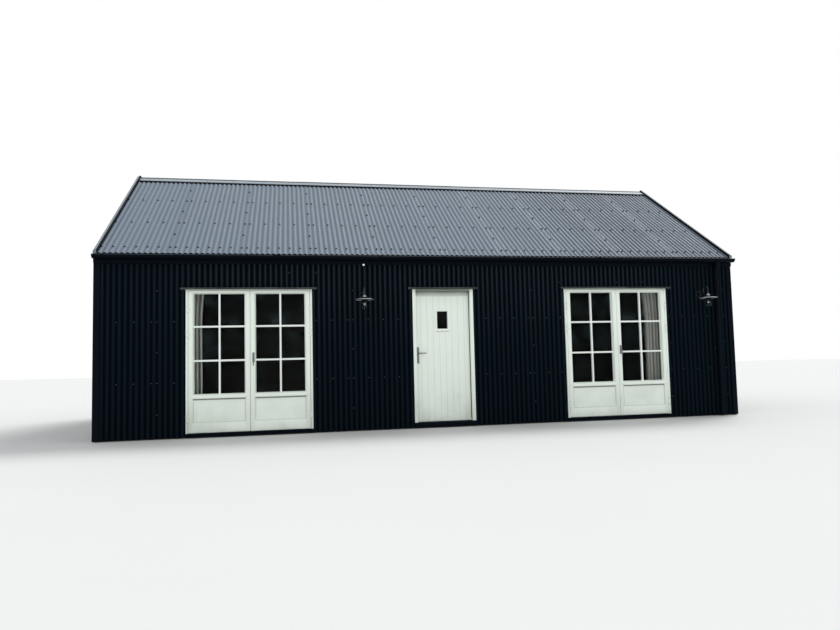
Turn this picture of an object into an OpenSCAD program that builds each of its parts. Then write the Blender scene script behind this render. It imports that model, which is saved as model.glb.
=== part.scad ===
// Corrugated metal garden hut: a gabled timber cabin clad in upright corrugated sheet,
// with two pairs of glazed doors, a boarded front door, two swan-neck wall lamps and gutters.
// The origin is the centre of the footprint at ground level. +X runs along the front from
// left to right, +Y from the front to the back, and +Z is up.

/* [Hut] */
// Length of the roof sheets and of the walls' outer faces
hut_length = 9906; // [9906:1:12000]
// Depth between the outer faces of the front and back cladding
hut_depth = 5210; // [4600:1:6000]
// Height of the roof sheets' top at the eaves
eave_height = 2613; // [2600:1:2800]
// Pitch of the roof in degrees
roof_pitch = 33.7; // [28:0.1:40]
// How far the roof sheets run out past the cladding
eave_overhang = 65; // [60:1:75]
// Height of the floor, which the walls stand on
floor_height = 50; // [40:1:52]
// Gap between the cladding's foot and the ground
ground_gap = 10; // [5:1:20]

/* [Walls and roof] */
// Thickness of the framed wall behind the cladding
wall_thickness = 130; // [120:1:150]
// Depth of the corrugations, from valley to crest
sheet_depth = 18; // [16:1:20]
// Thickness of the rafters and boarding, square to the slope
deck_thickness = 110; // [90:1:115]
// Thickness of folded flashings and caps
flashing = 3; // [2:1:3]
// Width of each leg of the corner flashings
corner_leg = 88; // [60:1:100]
// Width of each flange of the ridge cap, down the slope
ridge_flange = 155; // [150:1:250]
// Radius of the rounded roll along the ridge
ridge_roll = 9; // [8:1:20]
// Width of the verge caps' top
verge_width = 58; // [50:1:120]
// Height of the verge caps above the sheets' crests
verge_rise = 36; // [25:1:45]
// How far the verge caps come down the gables
verge_drop = 130; // [100:1:140]
// Thickness of the fascia boards
fascia_thickness = 25; // [20:1:28]
// Height of the fascia boards' lower edge
fascia_foot = 2462; // [2440:1:2480]
// Height of the fascia boards
fascia_depth = 138; // [120:1:140]

/* [Rainwater] */
// Outer width of the half-round gutters
gutter_width = 112; // [100:1:116]
// Distance from the cladding to the gutters' front edge
gutter_reach = 147; // [145:1:155]
// Height of the gutters' rim
gutter_rim = 2578; // [2570:1:2585]
// Length of the gutters
gutter_length = 9900; // [9400:1:9900]
// Outer diameter of the downpipes
pipe_d = 68; // [60:1:75]
// Distance of the front downpipe from the middle of the hut
pipe_x = 4640; // [4500:1:4700]

/* [Glazed doors] */
// Distance of each pair of glazed doors from the middle of the hut
glazed_x = 2854; // [2850:1:2880]
// Width over the frame of each pair
glazed_width = 1765; // [1740:1:1765]
// Height of all door frames' tops
head_height = 2115; // [2112:1:2125]
// Width of the frames' faces beside the glazed doors
glazed_jamb = 30; // [28:1:36]
// Width of the stiles of the glazed doors
stile = 60; // [55:1:70]
// Width of the glazing bead beside the glass
bead = 14; // [10:1:18]
// Thickness of the glazed doors
glazed_thickness = 66; // [62:1:68]
// Depth of the beads and glazing bars behind the doors' faces
bead_recess = 30; // [20:1:34]
// Depth of the glass behind the doors' faces
glass_recess = 44; // [40:1:46]
// Height of the lower edge of the glazed doors
glazed_foot = 72; // [72:1:76]
// Height of the lower edge of the glass
glass_foot = 611; // [600:1:640]
// Height of the upper edge of the glass
glass_head = 2034; // [2010:1:2036]
// Width of the glazing bars
bar = 30; // [24:1:34]
// Height of the lower edge of the weather moulding
moulding_foot = 550; // [530:1:570]
// Height of the lower edge of the bottom panel
panel_foot = 212; // [190:1:230]
// Gap between the two doors of a pair
meeting_gap = 9; // [8:1:12]

/* [Front door] */
// Width over the front door's frame
front_width = 944; // [920:1:960]
// Width of the front door frame's face
front_jamb = 48; // [44:1:52]
// Thickness of the front door
front_thickness = 44; // [40:1:46]
// Depth of the front door behind its frame's face
front_recess = 80; // [75:1:82]
// Height of the lower edge of the front door
front_foot = 93; // [93:1:98]
// Height of the middle of the small window
window_z = 1625; // [1550:1:1700]
// Width of the small window's frame
window_w = 209; // [180:1:230]
// Height of the small window's frame
window_h = 320; // [280:1:340]

/* [Fittings] */
// Height of the door levers' spindles
lever_z = 1124; // [1050:1:1150]
// Length of the door levers
lever_length = 120; // [100:1:130]
// Distance of the left lamp from the middle of the hut
left_lamp_x = -1225; // [-1300:1:-1150]
// Distance of the right lamp from the middle of the hut
right_lamp_x = 4340; // [4250:1:4380]
// Distance of the lamps' centres from the cladding
lamp_reach = 250; // [220:1:280]
// Diameter of the lamps' shades
shade_d = 275; // [250:1:300]
// Height of the lamps' shades at the rim
shade_z = 1910; // [1880:1:1940]
// Height of the lamps' wall roses above their shades
rose_rise = 90; // [80:1:100]

/* [Hidden] */
$fn = 48;

black = [0.04, 0.05, 0.07];
roof_grey = [0.42, 0.45, 0.49];
flashing_grey = [0.60, 0.64, 0.67];
joinery_white = [0.86, 0.88, 0.84];
pine = [0.78, 0.66, 0.48];
steel = [0.62, 0.63, 0.64];
lamp_metal = [0.38, 0.40, 0.40];
cloth = [0.74, 0.74, 0.72];
glass_tint = [0.30, 0.36, 0.38, 0.5];

half_length = hut_length / 2;
half_depth = hut_depth / 2;
wall_out = half_depth - sheet_depth;
wall_in = wall_out - wall_thickness;
end_out = half_length - sheet_depth;
end_in = end_out - wall_thickness;
eave_y = half_depth + eave_overhang;
deck_under = sheet_depth + deck_thickness;
// Sloping faces that lie on each other stay this far apart
seat = 0.1;
cladding_top = fascia_foot + 38;

// The faces of the door frames stand a little in front of the cladding
frame_face = -half_depth - 8;
frame_depth = 100;
door_gap = 5;
stop_gap = 6;
glazed_clear = glazed_width - 2 * glazed_jamb;
leaf_width = (glazed_clear - 2 * door_gap - meeting_gap) / 2;
leaf_head = head_height - glazed_jamb - door_gap;
leaf_back = frame_face + glazed_thickness;
glass_edge = stile + bead;
glass_width = leaf_width - 2 * glass_edge;
glass_thickness = 14;
glass_face = frame_face + glass_recess;
glass_back = glass_face + glass_thickness;
front_leaf_face = frame_face + front_recess;
front_leaf_back = front_leaf_face + front_thickness;
stop_overlap = 12;
front_leaf_width = front_width - 2 * front_jamb + 2 * stop_overlap;
front_leaf_head = head_height - front_jamb + stop_overlap;
front_rebate = front_jamb - stop_overlap - door_gap;
sill_out = frame_face - 20;
glazed_sill = glazed_foot - 6;
front_sill = front_foot - 5;

// Hinge knuckles stand just clear of the doors' faces
knuckle_r = 7;
knuckle_clear = 1;
knuckle_length = 32;
knuckle_step = knuckle_length + 1;
hinge_flag = 26;
hinge_plate = 2;
pin_y = frame_face - knuckle_r - knuckle_clear;
front_pin_y = front_leaf_back + knuckle_r + knuckle_clear;
glazed_pin_x = glazed_clear / 2 - door_gap / 2;
front_pin_x = front_leaf_width / 2 + door_gap / 2;
glazed_hinge_z = [270, 1455, 1815];
front_hinge_z = [300, 1090, 1880];

// Door furniture
spindle_r = 4.5;
spindle_hole = 7;
lever_out = 46;
lever_r = 8;
neck_r = 9;
plate_t = 7;
glazed_lever_x = meeting_gap / 2 + 40;
front_lever_x = -391;
front_plate_w = 35;
front_plate_z = [970, 1215];
glazed_plate_w = 30;
glazed_plate_z = [1046, 1186];

pipe_r = pipe_d / 2;
pipe_wall_y = half_depth + 20 + pipe_r;
gutter_y = half_depth + gutter_reach - gutter_width / 2;
gutter_wall = 3;
bracket_width = 25;
bracket_count = 11;

// Height of the sheets' top over a distance y from the ridge line, lowered by a depth
// that is measured square to the slope
function slope_z(y, depth) =
    eave_height + (eave_y - abs(y)) * tan(roof_pitch) - depth / cos(roof_pitch);

// An outline in Y and Z, drawn out along X
module along_x(x0, x1) {
    translate([x0, 0, 0]) rotate([90, 0, 90]) linear_extrude(x1 - x0) children();
}

// A box between two corners
module block(low, high) {
    translate(low) cube(high - low);
}

// One slope of the roof between two depths under the sheets' top, from y to the ridge
module slope_band(y, upper, lower) {
    polygon([[-y, slope_z(y, upper)], [0, slope_z(0, upper)], [0, slope_z(0, lower)],
        [-y, slope_z(y, lower)]]);
}

// Both slopes in one folded outline
module fold_band(y, upper, lower) {
    polygon([[-y, slope_z(y, upper)], [0, slope_z(0, upper)], [y, slope_z(y, upper)],
        [y, slope_z(y, lower)], [0, slope_z(0, lower)], [-y, slope_z(y, lower)]]);
}

// The back of the hut is the front turned about the vertical line through the origin
module to_back() {
    rotate([0, 0, 180]) children();
}

module floor_slab() {
    color(pine) block([-end_out, -wall_out, 0], [end_out, wall_out, floor_height]);
}

// Solid walls between the door openings, from x0 to x1 of each pair
pier_ends = [
    [-end_out, -glazed_x - glazed_width / 2],
    [-glazed_x + glazed_width / 2, -front_width / 2],
    [front_width / 2, glazed_x - glazed_width / 2],
    [glazed_x + glazed_width / 2, end_out]
];

module front_wall_piers() {
    color(pine) for (p = pier_ends)
        block([p[0], -wall_out, floor_height], [p[1], -wall_in, head_height]);
}

module wall_outline(foot) {
    top = deck_under + seat;
    polygon([[-wall_out, foot], [-wall_in, foot], [-wall_in, slope_z(wall_in, top)],
        [-wall_out, slope_z(wall_out, top)]]);
}

module front_wall_head() {
    color(pine) along_x(-end_out, end_out) wall_outline(head_height);
}

module back_wall() {
    color(pine) to_back() along_x(-end_out, end_out) wall_outline(floor_height);
}

// The outline of a gable of half width y, up to a depth under the sheets' top
module gable_outline(y, foot, depth) {
    top = depth + seat;
    polygon([[-y, foot], [y, foot], [y, slope_z(y, top)], [0, slope_z(0, top)],
        [-y, slope_z(y, top)]]);
}

module gable_wall(x0, x1) {
    color(pine) along_x(x0, x1) gable_outline(wall_in, floor_height, deck_under);
}

module left_gable_wall() { gable_wall(-end_out, -end_in); }
module right_gable_wall() { gable_wall(end_in, end_out); }

module front_cladding_piers() {
    color(black) for (p = pier_ends)
        block([p[0], -half_depth, ground_gap], [p[1], -wall_out, head_height]);
}

module front_cladding_head() {
    color(black) block([-end_out, -half_depth, head_height], [end_out, -wall_out, cladding_top]);
}

module back_cladding() {
    color(black) block([-end_out, wall_out, ground_gap], [end_out, half_depth, cladding_top]);
}

module gable_cladding(x0, x1) {
    color(black) along_x(x0, x1) gable_outline(half_depth, ground_gap, sheet_depth);
}

module left_gable_cladding() { gable_cladding(-half_length, -end_out); }
module right_gable_cladding() { gable_cladding(end_out, half_length); }

module roof_deck() {
    color(pine) along_x(-end_out, end_out) slope_band(half_depth, sheet_depth + seat, deck_under);
}

module front_roof_deck() { roof_deck(); }
module back_roof_deck() { to_back() roof_deck(); }

module roof_sheets() {
    color(roof_grey) along_x(-half_length, half_length) slope_band(eave_y, 0, sheet_depth);
}

module front_roof_sheets() { roof_sheets(); }
module back_roof_sheets() { to_back() roof_sheets(); }

module ridge_cap() {
    flange_y = ridge_flange * cos(roof_pitch);
    cap_end = half_length - verge_width;
    color(roof_grey) difference() {
        union() {
            along_x(-cap_end, cap_end) fold_band(flange_y, -flashing, -seat);
            translate([-cap_end, 0, slope_z(0, 0)]) rotate([0, 90, 0])
                cylinder(r = ridge_roll, h = 2 * cap_end);
        }
        along_x(-half_length, half_length) fold_band(3 * ridge_roll, -seat, 3 * ridge_roll);
    }
}

// A folded cap over one verge: a top, an inner side down to the crests and an outer leg
module verge_cap() {
    inner = half_length - verge_width;
    outer = half_length + flashing;
    color(flashing_grey) {
        along_x(inner, outer) fold_band(eave_y, -verge_rise, flashing - verge_rise);
        along_x(inner, inner + flashing) fold_band(eave_y, -verge_rise, -seat);
        along_x(half_length, outer) fold_band(half_depth + fascia_thickness, -verge_rise, verge_drop);
    }
}

module verge_caps() {
    verge_cap();
    mirror([1, 0, 0]) verge_cap();
}

module corner_flashing() {
    x = half_length + flashing;
    y = half_depth + flashing;
    color(black) {
        block([-x, -y, ground_gap], [corner_leg - x, -half_depth, fascia_foot]);
        block([-x, -y, ground_gap], [-half_length, corner_leg - y, fascia_foot]);
    }
}

module corner_flashings() {
    for (mx = [0, 1]) for (my = [0, 1])
        mirror([mx, 0, 0]) mirror([0, my, 0]) corner_flashing();
}

module fascia() {
    color(black) block([-half_length, -half_depth - fascia_thickness, fascia_foot],
        [half_length, -half_depth, fascia_foot + fascia_depth]);
}

module fascias() {
    fascia();
    to_back() fascia();
}

// The lower half of a ring, as a gutter's section
module half_ring(outer_r, inner_r) {
    difference() {
        circle(outer_r);
        if (inner_r > 0) circle(inner_r);
        translate([-outer_r - 1, 0]) square([2 * outer_r + 2, outer_r + 1]);
    }
}

// A half-round gutter with stopped ends, on brackets fixed to the fascia
module gutter() {
    r = gutter_width / 2;
    half = gutter_length / 2;
    fascia_y = half_depth + fascia_thickness;
    color(black) {
        translate([0, -gutter_y, gutter_rim]) {
            along_x(-half, half) half_ring(r, r - gutter_wall);
            for (s = [-1, 1]) along_x(s * (half - gutter_wall / 2) - gutter_wall / 2,
                s * (half - gutter_wall / 2) + gutter_wall / 2) half_ring(r, 0);
        }
        for (i = [0 : bracket_count - 1]) {
            x = (i / (bracket_count - 1) - 0.5) * (gutter_length - 300);
            translate([0, -gutter_y, gutter_rim])
                along_x(x - bracket_width / 2, x + bracket_width / 2)
                    half_ring(r + gutter_wall, r - 1);
            block([x - bracket_width / 2, -gutter_y + r - gutter_wall, gutter_rim - 50],
                [x + bracket_width / 2, -fascia_y, gutter_rim]);
        }
    }
}

module front_gutter() { gutter(); }
module back_gutter() { to_back() gutter(); }

// A tube between two points in the plane of X = 0, given as Y and Z
module tube_run(a, b, r) {
    d = b - a;
    translate([0, a[0], a[1]]) rotate([atan2(norm([d[0]]), d[1]) * (d[0] > 0 ? -1 : 1), 0, 0])
        cylinder(r = r, h = norm(d));
}

// The pipe's middle line: the outlet, the offset back to the wall, then straight down
pipe_line = [
    [-gutter_y, gutter_rim - gutter_width / 2 - 1], [-gutter_y, 2470],
    [-pipe_wall_y, 2390], [-pipe_wall_y, ground_gap]
];
clip_z = [2230, 1110, 200];
socket_length = 70;

// The pipe's runs, with a wider joint at each bend
module pipe_solid(r, joint_r, extra) {
    last = len(pipe_line) - 1;
    for (i = [0 : last - 1])
        tube_run(pipe_line[i] + (i == 0 ? [0, extra] : [0, 0]),
            pipe_line[i + 1] - (i == last - 1 ? [0, extra] : [0, 0]), r);
    for (i = [1 : last - 1]) translate([0, pipe_line[i][0], pipe_line[i][1]]) sphere(joint_r);
}

module downpipe() {
    color(black) translate([pipe_x, 0, 0]) difference() {
        union() {
            pipe_solid(pipe_r, pipe_r + 4, 0);
            for (z = clip_z) {
                for (s = [-1, 1]) translate([0, -pipe_wall_y, z + s * socket_length / 2 - 7])
                    cylinder(r = pipe_r + 5, h = 14);
                block([-18, -pipe_wall_y + pipe_r - 4, z - 20], [18, -half_depth, z + 20]);
            }
        }
        pipe_solid(pipe_r - 3, pipe_r - 1, 2);
    }
}

module downpipes() {
    downpipe();
    to_back() downpipe();
}

// Drip flashing over a door frame of one width, centred on x
module head_flashing(x, width) {
    half = width / 2 + 70;
    lip_y = half_depth + 50;
    color(flashing_grey) {
        block([x - half, -lip_y, head_height], [x + half, -half_depth, head_height + flashing]);
        block([x - half, -lip_y, head_height - 26], [x + half, flashing - lip_y, head_height + flashing]);
        block([x - half, -half_depth - flashing, head_height], [x + half, -half_depth, head_height + 8]);
    }
}

module door_head_flashings() {
    for (s = [-1, 1]) head_flashing(s * glazed_x, glazed_width);
    head_flashing(0, front_width);
}

// Dark threshold: a board under the frame and an apron in front of the slab
module threshold(x, width, top) {
    color(black) {
        block([x - width / 2, sill_out, floor_height], [x + width / 2, frame_face + frame_depth, top]);
        block([x - width / 2, -half_depth, ground_gap], [x + width / 2, -wall_out, floor_height]);
    }
}

module door_thresholds() {
    for (s = [-1, 1]) threshold(s * glazed_x, glazed_width, glazed_sill);
    threshold(0, front_width, front_sill);
}

// A frame of two jambs and a head. The doors close against a stop inside it.
module glazed_frame(x) {
    stop = glazed_jamb + door_gap + stop_overlap;
    half = glazed_width / 2;
    color(joinery_white) translate([x, 0, 0]) difference() {
        block([-half, frame_face, glazed_sill], [half, frame_face + frame_depth, head_height]);
        block([glazed_jamb - half, frame_face - 1, glazed_sill - 1],
            [half - glazed_jamb, leaf_back + stop_gap, head_height - glazed_jamb]);
        block([stop - half, frame_face, glazed_sill - 1],
            [half - stop, frame_face + frame_depth + 1, head_height - stop]);
    }
}

module left_glazed_frame() { glazed_frame(-glazed_x); }
module right_glazed_frame() { glazed_frame(glazed_x); }

module front_door_frame() {
    half = front_width / 2;
    stop_back = front_leaf_face - stop_gap;
    color(joinery_white) difference() {
        block([-half, frame_face, front_sill], [half, front_leaf_back, head_height]);
        block([front_jamb - half, frame_face - 1, front_sill - 1],
            [half - front_jamb, stop_back + 1, head_height - front_jamb]);
        block([front_rebate - half, stop_back, front_sill - 1],
            [half - front_rebate, front_leaf_back + 1, front_leaf_head + door_gap]);
    }
}

module spindle_bore(x, y0, y1) {
    translate([x, y0 - 1, lever_z]) rotate([-90, 0, 0]) cylinder(r = spindle_hole, h = y1 - y0 + 2);
}

module front_door_leaf() {
    half = front_leaf_width / 2;
    glass_w = window_w - 2 * 22;
    glass_h = window_h - 2 * 27;
    color(joinery_white) difference() {
        union() {
            block([-half, front_leaf_face, front_foot], [half, front_leaf_back, front_leaf_head]);
            block([-window_w / 2, front_leaf_face - 10, window_z - window_h / 2],
                [window_w / 2, front_leaf_back + 8, window_z + window_h / 2]);
        }
        block([-glass_w / 2, front_leaf_face - 11, window_z - glass_h / 2],
            [glass_w / 2, front_leaf_back + 9, window_z + glass_h / 2]);
        spindle_bore(front_lever_x, front_leaf_face, front_leaf_back);
    }
}

module front_door_glass() {
    glass_w = window_w - 2 * 22;
    glass_h = window_h - 2 * 27;
    mid = (front_leaf_face + front_leaf_back) / 2;
    color(glass_tint) block([-glass_w / 2, mid - glass_thickness / 2, window_z - glass_h / 2],
        [glass_w / 2, mid + glass_thickness / 2, window_z + glass_h / 2]);
}

// One door of a pair, hinged on the right: its lower left corner's x is zero
module glazed_leaf(lever) {
    recess = 12;
    color(joinery_white) difference() {
        union() {
            block([0, frame_face, glazed_foot], [leaf_width, leaf_back, leaf_head]);
            block([stile - 8, frame_face - 14, moulding_foot],
                [leaf_width - stile + 8, frame_face + 1, glass_foot - bead]);
        }
        block([stile, frame_face - 1, glass_foot - bead],
            [leaf_width - stile, frame_face + bead_recess, glass_head + bead]);
        for (i = [0, 1]) for (k = [0 : 2]) {
            pane_w = (glass_width - bar) / 2;
            pane_h = (glass_head - glass_foot - 2 * bar) / 3;
            x = glass_edge + i * (pane_w + bar);
            z = glass_foot + k * (pane_h + bar);
            block([x, frame_face, z], [x + pane_w, leaf_back + 1, z + pane_h]);
        }
        block([glass_edge, glass_face, glass_foot], [leaf_width - glass_edge, glass_back, glass_head]);
        for (y = [[frame_face - 1, frame_face + recess], [leaf_back - recess, leaf_back + 1]])
            block([stile, y[0], panel_foot], [leaf_width - stile, y[1], moulding_foot]);
        if (lever) spindle_bore(glazed_lever_x - meeting_gap / 2, frame_face, leaf_back);
    }
}

module glazed_glass() {
    color(glass_tint) block([glass_edge, glass_face, glass_foot],
        [leaf_width - glass_edge, glass_back, glass_head]);
}

// A right-hand door's pieces go beside the meeting line, and a left-hand door's are mirrored
module right_of(x) {
    translate([x + meeting_gap / 2, 0, 0]) children();
}

module left_of(x) {
    translate([x - meeting_gap / 2, 0, 0]) mirror([1, 0, 0]) children();
}

module left_pair_left_leaf() { left_of(-glazed_x) glazed_leaf(false); }
module left_pair_right_leaf() { right_of(-glazed_x) glazed_leaf(true); }
module right_pair_left_leaf() { left_of(glazed_x) glazed_leaf(false); }
module right_pair_right_leaf() { right_of(glazed_x) glazed_leaf(true); }
module left_pair_left_glass() { left_of(-glazed_x) glazed_glass(); }
module left_pair_right_glass() { right_of(-glazed_x) glazed_glass(); }
module right_pair_left_glass() { left_of(glazed_x) glazed_glass(); }
module right_pair_right_glass() { right_of(glazed_x) glazed_glass(); }

// One knuckle of a hinge with its flag, which lies on the door or frame beside it.
// side is 1 where the flag goes towards +X, and face is 1 where it lies on the +Y side.
module knuckle(side, face, z, length) {
    translate([0, 0, z]) {
        cylinder(r = knuckle_r, h = length);
        y = face * (knuckle_r + knuckle_clear);
        translate([side > 0 ? 0 : -hinge_flag, min(y, y - face * hinge_plate), 0])
            cube([hinge_flag, hinge_plate, length]);
    }
}

// The two outer knuckles of each hinge belong to the frame, the middle one to the door
module frame_knuckles(side, face, heights) {
    for (z = heights) for (s = [-1, 1])
        knuckle(side, face, z + s * knuckle_step - knuckle_length / 2, knuckle_length);
}

module leaf_knuckles(side, face, heights) {
    for (z = heights) knuckle(side, face, z - knuckle_length / 2, knuckle_length);
}

module frame_hinges() {
    color(steel) {
        for (x = [-glazed_x, glazed_x]) for (s = [-1, 1])
            translate([x + s * glazed_pin_x, pin_y, 0]) frame_knuckles(s, 1, glazed_hinge_z);
        translate([front_pin_x, front_pin_y, 0]) frame_knuckles(1, -1, front_hinge_z);
    }
}

// A plate on each face of a door, with a hole for the spindle
module plates(x, width, heights, y0, y1) {
    difference() {
        for (y = [[y0 - plate_t, y0], [y1, y1 + plate_t]])
            block([x - width / 2, y[0], heights[0]], [x + width / 2, y[1], heights[1]]);
        spindle_bore(x, y0 - plate_t, y1 + plate_t);
    }
}

module glazed_furniture(lever) {
    color(steel) {
        translate([leaf_width + door_gap / 2, pin_y, 0]) leaf_knuckles(-1, 1, glazed_hinge_z);
        if (lever) plates(glazed_lever_x - meeting_gap / 2, glazed_plate_w, glazed_plate_z,
            frame_face, leaf_back);
    }
}

module left_pair_left_furniture() { left_of(-glazed_x) glazed_furniture(false); }
module left_pair_right_furniture() { right_of(-glazed_x) glazed_furniture(true); }
module right_pair_left_furniture() { left_of(glazed_x) glazed_furniture(false); }
module right_pair_right_furniture() { right_of(glazed_x) glazed_furniture(true); }

module front_door_furniture() {
    color(steel) {
        translate([front_pin_x, front_pin_y, 0]) leaf_knuckles(-1, -1, front_hinge_z);
        plates(front_lever_x, front_plate_w, front_plate_z, front_leaf_face, front_leaf_back);
    }
}

// A lever handle on both faces of a door, on one spindle. angle turns both handles
// from pointing towards +X.
module lever_pair(x, y0, y1, angle) {
    color(steel) translate([x, 0, lever_z]) {
        translate([0, y0 - lever_out, 0]) rotate([-90, 0, 0])
            cylinder(r = spindle_r, h = y1 - y0 + 2 * lever_out);
        for (y = [[y0 - lever_out, y0 - plate_t - 1], [y1 + plate_t + 1, y1 + lever_out]])
            translate([0, y[0], 0]) rotate([-90, 0, 0]) cylinder(r = neck_r, h = y[1] - y[0]);
        for (y = [y0 - lever_out, y1 + lever_out]) translate([0, y, 0]) rotate([0, angle, 0]) {
            rotate([0, 90, 0]) cylinder(r = lever_r, h = lever_length - lever_r);
            translate([lever_length - lever_r, 0, 0]) sphere(lever_r);
            sphere(neck_r);
        }
    }
}

module front_door_lever() { lever_pair(front_lever_x, front_leaf_face, front_leaf_back, 0); }
module left_pair_lever() { lever_pair(glazed_lever_x - glazed_x, frame_face, leaf_back, 90); }
module right_pair_lever() { lever_pair(glazed_lever_x + glazed_x, frame_face, leaf_back, 90); }

// Height of the shades' caps above the rim
cap_top = 78;

// Swan-neck arm: out of the rose, up, over and down to the shade
module lamp_arm() {
    r = 9;
    up = 45;
    over = 62;
    rose_z = shade_z + rose_rise;
    rise_y = lamp_reach - 2 * over;
    top_z = rose_z + up + 2;
    rotate([90, 0, 0]) cylinder(r = 50, h = 14);
    rotate([90, 0, 0]) cylinder(r = r, h = rise_y - up);
    translate([0, up - rise_y, up]) rotate([0, 90, 0]) rotate([0, 0, -90])
        rotate_extrude(angle = 90) translate([up, 0]) circle(r);
    translate([0, -rise_y, up]) cylinder(r = r, h = top_z - rose_z - up);
    translate([0, -rise_y - over, top_z - rose_z]) rotate([0, 90, 0]) rotate([0, 0, 90])
        rotate_extrude(angle = 180) translate([over, 0]) circle(r);
    translate([0, -lamp_reach, cap_top - 5 - rose_rise]) cylinder(r = r, h = top_z - shade_z - cap_top + 5);
}

// Flat round shade with a low cone and a domed cap
module lamp_shade() {
    r = shade_d / 2;
    translate([0, -lamp_reach, -rose_rise]) {
        rotate_extrude() polygon([[0, 22], [34, 22], [r - 3, 6], [r, 6], [r, 0], [r - 4, 0],
            [34, 16], [0, 16]]);
        translate([0, 0, 18]) cylinder(r = 20, h = 50);
        translate([0, 0, 40]) cylinder(r1 = 33, r2 = 18, h = cap_top - 40);
        translate([0, 0, 20]) cylinder(r = 33, h = 20);
        translate([0, 0, -25]) cylinder(r = 42, h = 43);
    }
}

module wall_lamp(x) {
    color(lamp_metal) translate([x, -half_depth, shade_z + rose_rise]) {
        lamp_arm();
        lamp_shade();
    }
}

module wall_lamps() {
    wall_lamp(left_lamp_x);
    wall_lamp(right_lamp_x);
}

// A glass jar under the shade, 3 mm thick
module lamp_globe(x) {
    color(glass_tint) translate([x, -half_depth - lamp_reach, shade_z - 25]) rotate([180, 0, 0])
        difference() {
            union() {
                cylinder(r1 = 38, r2 = 43, h = 40);
                translate([0, 0, 40]) cylinder(r = 43, h = 47);
                translate([0, 0, 87]) sphere(43);
            }
            union() {
                translate([0, 0, -1]) cylinder(r1 = 35, r2 = 40, h = 41);
                translate([0, 0, 39]) cylinder(r = 40, h = 48);
                translate([0, 0, 87]) sphere(40);
            }
        }
}

module lamp_globes() {
    lamp_globe(left_lamp_x);
    lamp_globe(right_lamp_x);
}

module eaves_sensor() {
    y = -half_depth - fascia_thickness;
    color(black) translate([left_lamp_x + 15, y, fascia_foot]) {
        block([-24, -34, -22], [24, 0, 18]);
        translate([0, -36, -8]) sphere(25);
    }
}

// Behind each end pane hangs a curtain from a short rail on the wall
curtain_y = -wall_in + 90;
curtain_spans = [[-3830, -3490], [3420, 3830]];
rail_z = 2230;
curtain_foot = floor_height + 15;

module curtain_rail(span) {
    over = 60;
    color(steel) {
        translate([span[0] - over, curtain_y, rail_z]) rotate([0, 90, 0])
            cylinder(r = 9, h = span[1] - span[0] + 2 * over);
        for (x = [span[0] - over / 2, span[1] + over / 2])
            translate([x, -wall_in, rail_z]) rotate([-90, 0, 0])
                cylinder(r = 8, h = curtain_y + wall_in);
    }
}

module curtain_rails() {
    for (span = curtain_spans) curtain_rail(span);
}

module curtain(span) {
    color(cloth) block([span[0], curtain_y - 40, curtain_foot], [span[1], curtain_y + 40, rail_z - 10]);
}

module left_curtain() { curtain(curtain_spans[0]); }
module right_curtain() { curtain(curtain_spans[1]); }

floor_slab();
front_wall_piers();
front_wall_head();
back_wall();
left_gable_wall();
right_gable_wall();
front_cladding_piers();
front_cladding_head();
back_cladding();
left_gable_cladding();
right_gable_cladding();
front_roof_deck();
back_roof_deck();
front_roof_sheets();
back_roof_sheets();
ridge_cap();
verge_caps();
corner_flashings();
fascias();
front_gutter();
back_gutter();
downpipes();
door_head_flashings();
door_thresholds();
front_door_frame();
front_door_leaf();
front_door_glass();
front_door_furniture();
front_door_lever();
left_glazed_frame();
right_glazed_frame();
left_pair_left_leaf();
left_pair_right_leaf();
right_pair_left_leaf();
right_pair_right_leaf();
left_pair_left_glass();
left_pair_right_glass();
right_pair_left_glass();
right_pair_right_glass();
left_pair_left_furniture();
left_pair_right_furniture();
right_pair_left_furniture();
right_pair_right_furniture();
left_pair_lever();
right_pair_lever();
frame_hinges();
wall_lamps();
lamp_globes();
eaves_sensor();
curtain_rails();
left_curtain();
right_curtain();
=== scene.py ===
import math

import bmesh
import bpy
from mathutils import Matrix, Vector


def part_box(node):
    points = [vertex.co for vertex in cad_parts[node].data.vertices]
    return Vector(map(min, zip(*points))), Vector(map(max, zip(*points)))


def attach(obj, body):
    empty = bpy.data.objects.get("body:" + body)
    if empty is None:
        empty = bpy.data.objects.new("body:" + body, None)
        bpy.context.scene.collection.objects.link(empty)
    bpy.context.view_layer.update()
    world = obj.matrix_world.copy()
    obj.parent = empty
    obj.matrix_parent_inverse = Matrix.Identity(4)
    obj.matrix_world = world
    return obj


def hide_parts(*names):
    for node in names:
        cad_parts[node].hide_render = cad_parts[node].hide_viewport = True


bl_info = {
    "name": "Corrugated cabin",
    "version": (1, 0, 0),
    "blender": (4, 5, 0),
    "location": "3D View > Sidebar > Cabin",
    "description": "Dresses a corrugated metal cabin's plain solids with sheets, doors and fittings",
    "category": "Object",
}

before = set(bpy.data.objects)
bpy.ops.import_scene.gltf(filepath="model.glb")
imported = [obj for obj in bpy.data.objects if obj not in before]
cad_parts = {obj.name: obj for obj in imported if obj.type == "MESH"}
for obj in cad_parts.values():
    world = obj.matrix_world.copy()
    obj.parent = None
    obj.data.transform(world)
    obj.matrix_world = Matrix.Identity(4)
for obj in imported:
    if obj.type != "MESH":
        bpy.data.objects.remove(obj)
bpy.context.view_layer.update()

# Sizes that the pieces share with the cabin's solids, in metres and radians
FRONT_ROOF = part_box("front_roof_sheets")
HALF_LENGTH = FRONT_ROOF[1].x
EAVE_Y = -FRONT_ROOF[0].y
RIDGE_Z = FRONT_ROOF[1].z
ROOF_PITCH = math.radians(33.7)
EAVE_Z = RIDGE_Z - EAVE_Y * math.tan(ROOF_PITCH)
SLOPE = EAVE_Y / math.cos(ROOF_PITCH)
CREST_Y = -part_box("front_cladding_piers")[0].y
CLADDING_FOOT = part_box("front_cladding_piers")[0].z
CLADDING_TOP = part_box("front_cladding_head")[1].z
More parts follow.
